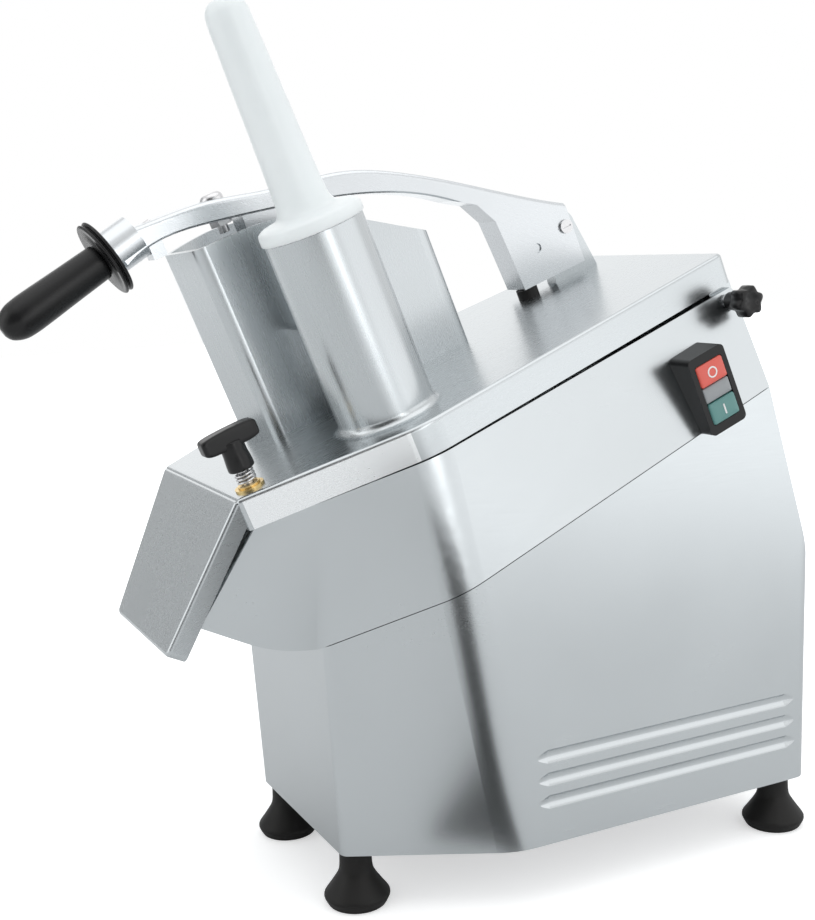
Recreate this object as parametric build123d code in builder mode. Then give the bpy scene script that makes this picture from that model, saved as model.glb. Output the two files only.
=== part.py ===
from build123d import *
from math import atan2, cos, degrees, radians, sin, sqrt, tan
import os

os.makedirs("parts", exist_ok=True)

# Frame: X runs from the discharge end (-X) to the motor end (+X), the switch is on the -Y side, Z is up,
# and the four feet stand on Z = 0 with the middle of the machine over the origin.

# Lid and hood
LID_TILT = 20.6
BEND_X = -171.5
BEND_Z = 313.5
LID_LENGTH = 421.5
BEND_HALF = 88.6
WIDE_AT = 128.0
WIDE_HALF = 134.0
REAR_HALF = 101.7
LID_SKIRT = 23.5
LID_WALL = 5.0
HOOD_ANGLE = 25.7
HOOD_LENGTH = 117.0
HOOD_HALF = 69.0
HOOD_SKIRT = 15.0

# Base housing and chamber casting
CAST_WALL = 6.0
BASE_Z = 43.0
CUT_HALF = 200.0
FRONT_X = -107.0
FRONT_HALF = 83.7
TURN_X = 6.0
TURN_HALF = 142.8
BACK_X = 277.0
BACK_HALF = 136.0
KNEE_Z = 212.0
BACK_LEAN = 10.0
SLANT_ANGLE = 14.5
PARTING_TILT = 23.4
PARTING_TURN_X = -28.0
PARTING_TURN_Z = 238.6
PARTING_TURN_HALF = 139.0
PARTING_FRONT_X = -113.5
PARTING_FRONT_HALF = 86.6
PARTING_BACK_HALF = 121.0
MOUTH_LOW_X = -199.4
MOUTH_LOW_Z = 224.7
MOUTH_TOP_HALF = 83.0
SEAM_GAP = 0.6

# Cutting chamber, in distances along and below the lid's top face
DISC_AT = 150.0
DISC_RADIUS = 102.5
BOWL_CLEARANCE = 3.5
BOWL_DEPTH = 78.0

# Hopper, tube and pushers, on the lid
HOPPER_FRONT = 70.0
HOPPER_BACK = 250.0
HOPPER_NEAR = 8.0
HOPPER_CORNER_AT = 62.0
HOPPER_CORNER_Y = 66.0
HOPPER_RADIUS = 117.0
HOPPER_WALL = 5.0
HOPPER_HEIGHT = 151.0
HOPPER_LEVEL_TO = 106.0
HOPPER_BACK_HEIGHT = 92.0
TUBE_AT = 130.0
TUBE_Y = -71.0
TUBE_RADIUS = 36.0
TUBE_BORE = 27.0
TUBE_HEIGHT = 141.0
TUBE_RUN = 0.6
PUSHER_CAP_RADIUS = 37.5
PUSHER_CAP = 11.0
PUSHER_STICK = 150.0
PUSHER_STICK_LOW = 18.5
PUSHER_STICK_TOP = 15.0

# Lever arm
ARM_Y = 54.0
ARM_WIDTH = 30.0
PIVOT_AT = 381.0
PIVOT_UP = 42.0
PIVOT_RADIUS = 5.0
YOKE_SLOT = 15.0
LUG_RADIUS = 14.0
YOKE_FOOT = 8.5
GRIP_RADIUS = 15.0
GRIP_LENGTH = 88.0
GRIP_TILT = 32.3
GUARD_RADIUS = 29.5
GUARD_X = -211.0
GUARD_Z = 479.0

# Hinge of the lid
HINGE_AT = 409.0
HINGE_DOWN = 34.7
BARREL_RADIUS = 12.4
PIN_RADIUS = 5.0

# Drive
SHAFT_RADIUS = 10.0
DRIVEN_RADIUS = 75.0
DRIVER_RADIUS = 15.0
MOTOR_AT = 290.0
MOTOR_RADIUS = 58.0
BELT_WIDTH = 16.0
BELT_THICK = 4.0

# Feet
FOOT_FRONT_X = -92.0
FOOT_FRONT_IN = 19.5
FOOT_BACK_X = 257.0
FOOT_BACK_IN = 18.5
FOOT_NECK = 12.0
FOOT_RADIUS = 24.5

# Switch on the side wall
SWITCH_X = 187.0
SWITCH_Z = 362.0
SWITCH_TURN = 22.0
BUTTON_WIDTH = 25.0
BUTTON_HEIGHT = 17.0
BUTTON_TRAVEL = 3.0

# Clearances
RUNNING = 0.08
FIT = 0.5

# Planes that the castings are drawn on
lid_cos = cos(radians(LID_TILT))
lid_sin = sin(radians(LID_TILT))
LID = Plane(origin=(BEND_X, 0, BEND_Z), x_dir=(lid_cos, 0, lid_sin), z_dir=(-lid_sin, 0, lid_cos))
parting_cos = cos(radians(PARTING_TILT))
parting_sin = sin(radians(PARTING_TILT))
PARTING = Plane(
    origin=(PARTING_TURN_X, 0, PARTING_TURN_Z),
    x_dir=(parting_cos, 0, parting_sin),
    z_dir=(-parting_sin, 0, parting_cos),
)
hood_cos = cos(radians(HOOD_ANGLE))
hood_sin = sin(radians(HOOD_ANGLE))
HOOD = Plane(origin=(BEND_X, 0, BEND_Z), x_dir=(-hood_sin, 0, -hood_cos), z_dir=(-hood_cos, 0, hood_sin))
MOUTH = Plane(
    origin=(MOUTH_LOW_X, 0, MOUTH_LOW_Z),
    x_dir=(-hood_sin, 0, -hood_cos),
    z_dir=(-hood_cos, 0, hood_sin),
)
slant_cos = cos(radians(SLANT_ANGLE))
slant_sin = sin(radians(SLANT_ANGLE))
SLANT = Plane(
    origin=(BACK_X + BACK_LEAN, 0, KNEE_Z),
    x_dir=(-slant_sin, 0, slant_cos),
    z_dir=(slant_cos, 0, slant_sin),
)
SIDE = Plane(origin=(0, 0, 0), x_dir=(1, 0, 0), z_dir=(0, -1, 0))


def lid_place(along, across, up):
    """World position of a point given along, across and above the lid's top face."""
    return LID.from_local_coords(Vector(along, across, up))


def parting_along(x):
    """Distance along the parting plane of the point above a world x."""
    return (x - PARTING_TURN_X) / parting_cos


def outline(plane, corners, radii, wall=0.0):
    """Closed outline from (along, half width) corners, front to back, mirrored, set in by a wall."""
    with BuildSketch(plane, mode=Mode.PRIVATE) as profile:
        with BuildLine():
            Polyline(*corners, *[(x, -y) for x, y in reversed(corners)], close=True)
        make_face()
        if wall > 0:
            offset(amount=-wall, kind=Kind.INTERSECTION, mode=Mode.REPLACE)
        for (x, y), radius in zip(corners, radii):
            for side in (y, -y):
                fillet(profile.vertices().sort_by_distance((x, side, 0))[0], max(radius - wall, 2.0))
    return profile.sketch


def side_profile(points, half):
    """Solid block between -half and +half in Y over a closed outline of (X, Z) points."""
    with BuildPart(mode=Mode.PRIVATE) as block:
        with BuildSketch(SIDE.offset(-half)):
            with BuildLine():
                Polyline(*points, close=True)
            make_face()
        extrude(amount=2 * half)
    return block.part


def column(plane, radius, low, high, bore=0.0):
    """Round solid on a plane between two heights above it, with an optional bore."""
    with BuildPart(mode=Mode.PRIVATE) as solid:
        with BuildSketch(plane.offset(low)):
            Circle(radius)
            if bore > 0:
                Circle(bore, mode=Mode.SUBTRACT)
        extrude(amount=high - low)
    return solid.part


def on_lid(along, side):
    """Plane parallel to the lid's top face, with its origin at a point of that face."""
    return Plane(lid_place(along, side, 0), LID.x_dir, LID.z_dir)


def side_plane(side):
    """Plane with the lid's along and up directions, at one distance across, its normal towards -Y."""
    return Plane(lid_place(0, side, 0), LID.x_dir, (0, -1, 0))


def lid_block(points, near, far):
    """Solid between two distances across, over a closed outline of (along, up) points."""
    with BuildPart(mode=Mode.PRIVATE) as block:
        with BuildSketch(side_plane(far)):
            with BuildLine():
                Polyline(*points, close=True)
            make_face()
        extrude(amount=far - near)
    return block.part


def cross_pin(along, up, radius, near, far, bore=0.0):
    """Round solid lying across the lid at a point (along, up)."""
    place = Plane(lid_place(along, far, up), LID.x_dir, (0, -1, 0))
    return column(place, radius, 0, far - near, bore)


def capsule(start, end, radius):
    """Long round-ended solid between two points, tapering to blunt tips."""
    run = (end - start).length
    place = Plane(origin=start, x_dir=(0, 0, 1), z_dir=(end - start).cross(Vector(0, 0, 1)))
    with BuildPart(mode=Mode.PRIVATE) as solid:
        with BuildSketch(place):
            with BuildLine():
                sign = 1 if place.to_local_coords(end).Y > 0 else -1
                Polyline(
                    (0, -sign * 3 * radius),
                    (radius * 0.4, -sign * 2.4 * radius),
                    (radius, 0),
                    (radius, sign * run),
                    (radius * 0.4, sign * (run + 2.4 * radius)),
                    (0, sign * (run + 3 * radius)),
                    close=True,
                )
            make_face()
        revolve(axis=Axis(start, end - start))
    return solid.part


def between(x, start, end):
    """Value at x on the straight line through two (x, value) points."""
    return start[1] + (end[1] - start[1]) * (x - start[0]) / (end[0] - start[0])


def low_half(x):
    """Half width of the base housing's bottom edge at a world x."""
    if x < TURN_X:
        return between(x, (FRONT_X, FRONT_HALF), (TURN_X, TURN_HALF))
    return between(x, (TURN_X, TURN_HALF), (BACK_X, BACK_HALF))


def parting_half(x):
    """Half width of the castings at the parting face below a world x."""
    if x < PARTING_TURN_X:
        return between(x, (PARTING_FRONT_X, PARTING_FRONT_HALF), (PARTING_TURN_X, PARTING_TURN_HALF))
    return between(x, (PARTING_TURN_X, PARTING_TURN_HALF), (parting_back_x, PARTING_BACK_HALF))


def side_half(x, height):
    """Half width of the base housing's long side wall at a world x and height."""
    high_z = PARTING_TURN_Z + (x - PARTING_TURN_X) * parting_rise
    return between(height, (BASE_Z, low_half(x)), (high_z, parting_half(x)))


def finish(piece, name):
    """Labels a finished piece and writes it."""
    piece.label = name
    export_step(piece, f"parts/{name}.step")


# Outlines of the castings, as (along, half width) from front to back
CORNERS = (8.0, 60.0, 12.0)
wall_lean = BACK_LEAN / (KNEE_Z - BASE_Z)
parting_rise = tan(radians(PARTING_TILT))
parting_back_x = (BACK_X + wall_lean * (PARTING_TURN_Z - BASE_Z - PARTING_TURN_X * parting_rise)) / (
    1 - wall_lean * parting_rise
)
base_low = [(FRONT_X, FRONT_HALF), (TURN_X, TURN_HALF), (BACK_X, BACK_HALF)]
base_high = [
    (parting_along(PARTING_FRONT_X), PARTING_FRONT_HALF),
    (0.0, PARTING_TURN_HALF),
    (parting_along(parting_back_x), PARTING_BACK_HALF),
]

# Fasteners between the castings, and places of the feet
GROOVE_HEIGHTS = (75.0, 92.0, 109.0)
GROOVE_RADIUS = 7.0
GROOVE_DEPTH = 2.2
GROOVE_START = 34.0
GROOVE_END = 256.0
FOOT_BOSS = 17.5
FOOT_BOLT = 4.0
FOOT_HEAD = 6.5
FOOT_HEAD_TOP = 12.0
FLANGE_BOLT = 3.0
FLANGE_BOSS = 8.0
FLANGE_DEEP = 26.0
FLANGE_UP = 22.0
LUG_BOSS = 8.0
LUG_TOP = 60.0
PLATE_BOTTOM = 44.0
PLATE_THICK = 2.0
FOOT_NAMES = ("front_near", "front_far", "back_near", "back_far")
FOOT_PLACES = [
    (x, side * (low_half(x) - inset))
    for x, inset in ((FOOT_FRONT_X, FOOT_FRONT_IN), (FOOT_BACK_X, FOOT_BACK_IN))
    for side in (-1, 1)
]
FLANGE_IN = 13.0
FLANGE_PLACES = [
    (parting_along(x), side * (parting_half(x) - FLANGE_IN))
    for x in (-97.0, -32.0, 100.0, 222.0)
    for side in (-1, 1)
]
LUG_IN = 12.0
LUG_PLACES = [(x, side * (low_half(x) - LUG_IN)) for x in (0.0, 190.0) for side in (-1, 1)]


def on_parting(place):
    """Plane parallel to the parting face at an (along, across) place on it."""
    return Plane(PARTING.from_local_coords(Vector(place[0], place[1], 0)), PARTING.x_dir, PARTING.z_dir)


def upright(place):
    """Level plane on the floor at an (x, y) place."""
    return Plane.XY.move(Location((place[0], place[1], 0)))


# Base housing: a lofted casting, open below and above, with a leaning rear wall and three side grooves
with BuildPart(mode=Mode.PRIVATE) as base_space:
    loft(
        [
            outline(Plane.XY.offset(BASE_Z - 5), base_low, CORNERS, CAST_WALL),
            outline(PARTING.offset(5), base_high, CORNERS, CAST_WALL),
        ],
        ruled=True,
    )
    split(bisect_by=SLANT.offset(-CAST_WALL), keep=Keep.BOTTOM)

with BuildPart(mode=Mode.PRIVATE) as base_form:
    loft(
        [
            outline(Plane.XY.offset(BASE_Z), base_low, CORNERS),
            outline(PARTING.offset(-SEAM_GAP), base_high, CORNERS),
        ],
        ruled=True,
    )
    split(bisect_by=SLANT, keep=Keep.BOTTOM)

with BuildPart(mode=Mode.PRIVATE) as base_bosses:
    for place in FOOT_PLACES:
        add(column(upright(place), FOOT_BOSS, BASE_Z, BASE_Z + FOOT_BOSS))
    for place in LUG_PLACES:
        add(column(upright(place), LUG_BOSS, PLATE_BOTTOM + PLATE_THICK, LUG_TOP))
    for place in FLANGE_PLACES:
        add(column(on_parting(place), FLANGE_BOSS, -FLANGE_DEEP, -SEAM_GAP))
    add(base_form.part, mode=Mode.INTERSECT)

GLAND_Y = 70.0
GLAND_Z = 86.0
GLAND_BODY = 9.0

with BuildPart() as base_housing:
    add(base_form.part)
    add(base_space.part, mode=Mode.SUBTRACT)
    add(base_bosses.part)
    for place in FOOT_PLACES:
        add(column(upright(place), FOOT_BOLT + 0.05, 0, BASE_Z + FOOT_BOSS - 3), mode=Mode.SUBTRACT)
    for place in LUG_PLACES:
        add(column(upright(place), 2.05, 0, LUG_TOP - 3), mode=Mode.SUBTRACT)
    for place in FLANGE_PLACES:
        add(column(on_parting(place), FLANGE_BOLT + 0.3, -FLANGE_DEEP - 1, 5), mode=Mode.SUBTRACT)
    for height in GROOVE_HEIGHTS:
        for side in (-1, 1):
            reach = GROOVE_RADIUS - GROOVE_DEPTH
            start = Vector(GROOVE_START, side * (side_half(GROOVE_START, height) + reach), height)
            end = Vector(GROOVE_END, side * (side_half(GROOVE_END, height) + reach), height)
            add(capsule(start, end, GROOVE_RADIUS), mode=Mode.SUBTRACT)
    add(column(Plane(origin=(BACK_X - 30, GLAND_Y, GLAND_Z), z_dir=(1, 0, 0)), GLAND_BODY + 0.1, 0, 60),
        mode=Mode.SUBTRACT)
finish(base_housing.part, "base_housing")

# Chamber casting: the same outline carried up to the lid and forward into the spout
MOUTH_DROP = 84.6
MOUTH_LOWEST_HALF = 42.0
mouth_low_x = MOUTH_LOW_X - hood_sin * MOUTH_DROP
chamber_low = [(parting_along(mouth_low_x), MOUTH_LOWEST_HALF), *base_high]
TOP_FALL = 0.35
TOP = LID.offset(-LID_SKIRT - SEAM_GAP).rotated((0, TOP_FALL, 0))
chamber_top = [(4.0, MOUTH_TOP_HALF), (50.0, 104.0), (WIDE_AT, WIDE_HALF), (LID_LENGTH + 40, 99.0)]
CHAMBER_CORNERS = (3.0, 60.0, 60.0, 12.0)
DECK = 6.0
BOWL_WALL = 6.0
BOWL_RADIUS = DISC_RADIUS + BOWL_CLEARANCE
BOSS_RADIUS = 30.0
BOSS_DEEP = BOWL_DEPTH + 60.0
SPOUT_HALF = 76.0
BEARING_RADIUS = 21.0
BEARING_WIDE = 12.0
UPPER_BEARING = -BOWL_DEPTH - 18.0
LOWER_BEARING = UPPER_BEARING - 39.0
SEAL_RADIUS = 17.0
BOSS_BORE = SHAFT_RADIUS + 3
HINGE_HALF = 98.0
SCOOP_RADIUS = 14.6
EAR_RADIUS = 10.6
POST_RADIUS = 6.0
POST_AT = 38.0
POST_Y = 72.0
POST_PLACES = [(MOTOR_AT + along, side) for along in (-POST_AT, POST_AT) for side in (-POST_Y, POST_Y)]
STUD_AT = 16.0
STUD_Y = -74.0
STUD_RADIUS = 4.0
STUD_BOSS = 10.0
INSERT_RADIUS = 7.0
INSERT_LOW = -52.0
INSERT_HIGH = -28.0
SWITCH_FACE_Y = -140.0
SWITCH_BODY = (24.0, 46.0)
SPOUT_LIP_X = -119.0
SPOUT_LIP_Z = 207.0
ramp_top = lid_place(62, 0, -BOWL_DEPTH)
HINGE_ROOM = HINGE_HALF + FIT
SWITCH = Plane(
    origin=(SWITCH_X, SWITCH_FACE_Y, SWITCH_Z),
    x_dir=(cos(radians(SWITCH_TURN)), 0, sin(radians(SWITCH_TURN))),
    z_dir=(0, -1, 0),
)


def switch_block(wide, high, radius, low, top, at=0.0):
    """Rounded block on the switch's face plane between two heights above it."""
    with BuildPart(mode=Mode.PRIVATE) as block:
        with BuildSketch(SWITCH.offset(low)):
            with Locations((0, at)):
                RectangleRounded(wide, high, radius)
        extrude(amount=top - low)
    return block.part


with BuildPart(mode=Mode.PRIVATE) as chamber_form:
    loft(
        [outline(PARTING, chamber_low, CHAMBER_CORNERS), outline(TOP, chamber_top, CHAMBER_CORNERS)],
        ruled=True,
    )
    split(bisect_by=SLANT, keep=Keep.BOTTOM)
    split(bisect_by=MOUTH, keep=Keep.BOTTOM)
    with BuildSketch(SIDE.offset(-CUT_HALF)):
        with BuildLine():
            edge = Line((MOUTH_LOW_X, MOUTH_LOW_Z), (-165.0, 209.0))
            bend = TangentArc((-165.0, 209.0), (PARTING_FRONT_X - 6, 200.5), tangent=edge % 1)
            Polyline(
                bend @ 1, (PARTING_FRONT_X, 199.5), (PARTING_FRONT_X, 100), (-280, 100), (-280, 262), edge @ 0
            )
        make_face()
    extrude(amount=2 * CUT_HALF, mode=Mode.SUBTRACT)

with BuildPart(mode=Mode.PRIVATE) as chamber_space:
    loft(
        [
            outline(PARTING.offset(-5), base_high, CORNERS, CAST_WALL),
            outline(TOP, chamber_top[1:], CORNERS, CAST_WALL),
        ],
        ruled=True,
    )
    split(bisect_by=SLANT.offset(-CAST_WALL), keep=Keep.BOTTOM)

with BuildPart(mode=Mode.PRIVATE) as rear_space:
    add(chamber_space.part)
    split(bisect_by=TOP.offset(-DECK), keep=Keep.BOTTOM)
    add(column(on_lid(DISC_AT, 0), BOWL_RADIUS + BOWL_WALL, -300, 0), mode=Mode.SUBTRACT)
    split(bisect_by=Plane(lid_place(DISC_AT + 30, 0, 0), LID.z_dir, LID.x_dir), keep=Keep.TOP)

with BuildPart(mode=Mode.PRIVATE) as under_space:
    add(chamber_space.part)
    split(bisect_by=LID.offset(-BOWL_DEPTH - BOWL_WALL), keep=Keep.BOTTOM)
    add(
        side_profile(
            [
                (SPOUT_LIP_X - 60, 150),
                (SPOUT_LIP_X + 11, SPOUT_LIP_Z - 12),
                (ramp_top.X + 6, ramp_top.Z - 2),
                (ramp_top.X - 60, ramp_top.Z + 60),
                (SPOUT_LIP_X - 60, 300),
            ],
            CUT_HALF,
        ),
        mode=Mode.SUBTRACT,
    )
    add(column(on_lid(DISC_AT, 0), BOSS_RADIUS, -300, 0), mode=Mode.SUBTRACT)

with BuildPart(mode=Mode.PRIVATE) as spout_space:
    with BuildSketch(PARTING.offset(-60)):
        with BuildLine():
            Polyline(
                (parting_along(-280), 18),
                (parting_along(-100), SPOUT_HALF),
                (parting_along(0), SPOUT_HALF),
                (parting_along(0), -SPOUT_HALF),
                (parting_along(-100), -SPOUT_HALF),
                (parting_along(-280), -18),
                close=True,
            )
        make_face()
    with BuildSketch(LID.offset(10)):
        with BuildLine():
            Polyline(
                (-60, 70),
                (20, SPOUT_HALF),
                (120, SPOUT_HALF),
                (120, -SPOUT_HALF),
                (20, -SPOUT_HALF),
                (-60, -70),
                close=True,
            )
        make_face()
    loft(ruled=True)
    add(
        side_profile(
            [
                (SPOUT_LIP_X, 0),
                (SPOUT_LIP_X, SPOUT_LIP_Z),
                (ramp_top.X, ramp_top.Z),
                (ramp_top.X + 200, ramp_top.Z + 200 * lid_sin / lid_cos),
                (400, 0),
            ],
            CUT_HALF,
        ),
        mode=Mode.SUBTRACT,
    )

with BuildPart(mode=Mode.PRIVATE) as chamber_bosses:
    add(column(on_lid(DISC_AT, 0), BOSS_RADIUS, -BOSS_DEEP, -BOWL_DEPTH - 1))
    for place in FLANGE_PLACES:
        add(column(on_parting(place), FLANGE_BOSS, 0, FLANGE_UP))
    for along, side in POST_PLACES:
        add(column(on_lid(along, side), POST_RADIUS + 6, -44, -LID_SKIRT))
    add(column(on_lid(STUD_AT, STUD_Y), STUD_BOSS, INSERT_LOW - 4, 0))
    add(cross_pin(HINGE_AT, -HINGE_DOWN, SCOOP_RADIUS + 5, -HINGE_ROOM - 4, HINGE_ROOM + 4))
    add(chamber_form.part, mode=Mode.INTERSECT)

with BuildPart() as chamber_casting:
    add(chamber_form.part)
    add(rear_space.part, mode=Mode.SUBTRACT)
    add(under_space.part, mode=Mode.SUBTRACT)
    add(column(on_lid(DISC_AT, 0), BOWL_RADIUS, -BOWL_DEPTH, 20), mode=Mode.SUBTRACT)
    add(spout_space.part, mode=Mode.SUBTRACT)
    add(chamber_bosses.part)
    add(column(on_lid(DISC_AT, 0), BOSS_BORE, -200, 0), mode=Mode.SUBTRACT)
    add(column(on_lid(DISC_AT, 0), BEARING_RADIUS, UPPER_BEARING, -BOWL_DEPTH - 6), mode=Mode.SUBTRACT)
    add(column(on_lid(DISC_AT, 0), SEAL_RADIUS, -BOWL_DEPTH - 7, 0), mode=Mode.SUBTRACT)
    add(column(on_lid(DISC_AT, 0), BEARING_RADIUS, -200, LOWER_BEARING + BEARING_WIDE), mode=Mode.SUBTRACT)
    for place in FLANGE_PLACES:
        add(column(on_parting(place), FLANGE_BOLT + 0.05, -5, FLANGE_UP - 3), mode=Mode.SUBTRACT)
    for along, side in POST_PLACES:
        add(column(on_lid(along, side), POST_RADIUS / 2 + 0.05, -50, -34), mode=Mode.SUBTRACT)
    add(column(on_lid(STUD_AT, STUD_Y), INSERT_RADIUS + 0.05, INSERT_LOW, INSERT_HIGH), mode=Mode.SUBTRACT)
    add(column(on_lid(STUD_AT, STUD_Y), STUD_RADIUS + 1, INSERT_LOW, 0), mode=Mode.SUBTRACT)
    add(cross_pin(HINGE_AT, -HINGE_DOWN, SCOOP_RADIUS, -HINGE_ROOM, HINGE_ROOM), mode=Mode.SUBTRACT)
    add(
        lid_block(
            [
                (HINGE_AT - SCOOP_RADIUS, -HINGE_DOWN),
                (HINGE_AT - SCOOP_RADIUS, 0),
                (HINGE_AT + 30, 0),
                (HINGE_AT + 30, -HINGE_DOWN),
            ],
            -HINGE_ROOM,
            HINGE_ROOM,
        ),
        mode=Mode.SUBTRACT,
    )
    add(cross_pin(HINGE_AT, -HINGE_DOWN, PIN_RADIUS + RUNNING, -CUT_HALF, CUT_HALF), mode=Mode.SUBTRACT)
    with BuildPart(mode=Mode.PRIVATE) as ear_trim:
        add(
            lid_block(
                [(HINGE_AT, -HINGE_DOWN), (HINGE_AT, 0), (HINGE_AT + 30, 0), (HINGE_AT + 30, -HINGE_DOWN)],
                -CUT_HALF,
                CUT_HALF,
            )
        )
        add(cross_pin(HINGE_AT, -HINGE_DOWN, EAR_RADIUS, -CUT_HALF, CUT_HALF), mode=Mode.SUBTRACT)
    add(ear_trim.part, mode=Mode.SUBTRACT)
    add(switch_block(SWITCH_BODY[0] + 0.4, SWITCH_BODY[1] + 0.4, 3.2, -60, 0), mode=Mode.SUBTRACT)
finish(chamber_casting.part, "chamber_casting")


# Lid casting: plate with skirt, hood, hopper, tube, rib, pivot lug and hinge barrel
HOOD_WALL = 4.0
BEND_ROUND = 10.0
EDGE_ROUND = 3.0
FUNNEL_DOWN = 17.0
TUBE_FOOT = 6.0
RIB_THICK = 8.0
RIB_HEIGHT = 70.0
LUG_HALF = YOKE_SLOT / 2 - 0.4
lid_plan = [(0.0, BEND_HALF), (WIDE_AT, WIDE_HALF), (LID_LENGTH, REAR_HALF)]
LID_CORNERS = (2.0, 60.0, 8.0)
hood_plan = [(0.0, BEND_HALF), (HOOD_LENGTH, HOOD_HALF)]
hood_slope = (BEND_HALF - HOOD_HALF) / HOOD_LENGTH


def hopper_plan(plane, wall=0.0):
    """D-shaped plan of the hopper on a plane, set in by a wall."""
    with BuildSketch(plane, mode=Mode.PRIVATE) as plan:
        with BuildLine():
            Line((HOPPER_FRONT, HOPPER_NEAR), (HOPPER_BACK, HOPPER_NEAR))
            Line((HOPPER_BACK, HOPPER_NEAR), (HOPPER_BACK, 76))
            ThreePointArc((HOPPER_BACK, 76), (160, HOPPER_RADIUS), (HOPPER_CORNER_AT, HOPPER_CORNER_Y))
            Line((HOPPER_CORNER_AT, HOPPER_CORNER_Y), (HOPPER_FRONT, HOPPER_NEAR))
        make_face()
        for point in ((HOPPER_FRONT, HOPPER_NEAR), (HOPPER_CORNER_AT, HOPPER_CORNER_Y)):
            fillet(plan.vertices().sort_by_distance((*point, 0))[0], 9.0)
        for point in ((HOPPER_BACK, HOPPER_NEAR), (HOPPER_BACK, 76)):
            fillet(plan.vertices().sort_by_distance((*point, 0))[0], 12.0)
        if wall > 0:
            offset(amount=-wall, mode=Mode.REPLACE)
    return plan.sketch


def rounded_slab(plane, corners, radii, deep):
    """Plate hanging below a plane, with the top edges rounded except the one at its front."""
    with BuildPart(mode=Mode.PRIVATE) as slab:
        extrude(outline(plane, corners, radii), amount=-deep)
        level = slab.faces().filter_by(Plane(plane.origin, plane.x_dir, plane.z_dir))
        top = level.sort_by_distance(plane.origin)[0]
        front = top.edges().filter_by(Axis.Y).sort_by_distance(plane.origin)[0]
        fillet([edge for edge in top.edges() if edge.center() != front.center()], EDGE_ROUND)
    return slab.part


lid_slab = rounded_slab(LID, lid_plan, LID_CORNERS, LID_SKIRT)
hood_slab = rounded_slab(HOOD, hood_plan, (2.0, 6.0), HOOD_SKIRT)

bend_tangent = BEND_ROUND * tan(radians((90 - LID_TILT - HOOD_ANGLE) / 2))
with BuildPart(mode=Mode.PRIVATE) as bend_trim:
    centre = lid_place(bend_tangent, 0, -BEND_ROUND)
    on_hood = HOOD.from_local_coords(Vector(bend_tangent, 0, 0))
    past = LID.from_local_coords(Vector(bend_tangent, 0, 0))
    tip = Vector(BEND_X, 0, BEND_Z) + (Vector(BEND_X, 0, BEND_Z) - centre).normalized() * 3
    wedge = [(point.X, point.Z) for point in (centre, past, tip, on_hood)]
    add(side_profile(wedge, CUT_HALF))
    round_plane = Plane((centre.X, 0, centre.Z), (1, 0, 0), (0, -1, 0))
    add(column(round_plane, BEND_ROUND, -CUT_HALF, CUT_HALF), mode=Mode.SUBTRACT)

with BuildPart(mode=Mode.PRIVATE) as lid_space:
    extrude(outline(LID.offset(-LID_WALL), lid_plan, LID_CORNERS, LID_WALL), amount=-40)

with BuildPart(mode=Mode.PRIVATE) as hood_space:
    with BuildSketch(HOOD.offset(-HOOD_WALL)):
        with BuildLine():
            near = BEND_HALF + 20 * hood_slope - HOOD_WALL
            far = HOOD_HALF - 20 * hood_slope - HOOD_WALL
            Polyline((-20, near), (HOOD_LENGTH + 20, far), (HOOD_LENGTH + 20, -far), (-20, -near), close=True)
        make_face()
    extrude(amount=-40)
    split(bisect_by=LID.offset(-LID_WALL), keep=Keep.BOTTOM)

with BuildPart(mode=Mode.PRIVATE) as hopper_top:
    with BuildSketch(side_plane(140)):
        with BuildLine():
            rim = Spline(
                (HOPPER_LEVEL_TO, HOPPER_HEIGHT), (200, 122), (HOPPER_BACK + 4, HOPPER_BACK_HEIGHT - 2),
                tangents=((1, 0), (1, -0.5)),
            )
            Polyline(rim @ 1, (HOPPER_BACK + 4, 220), (0, 220), (0, HOPPER_HEIGHT), rim @ 0)
        make_face()
    extrude(amount=160)

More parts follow.
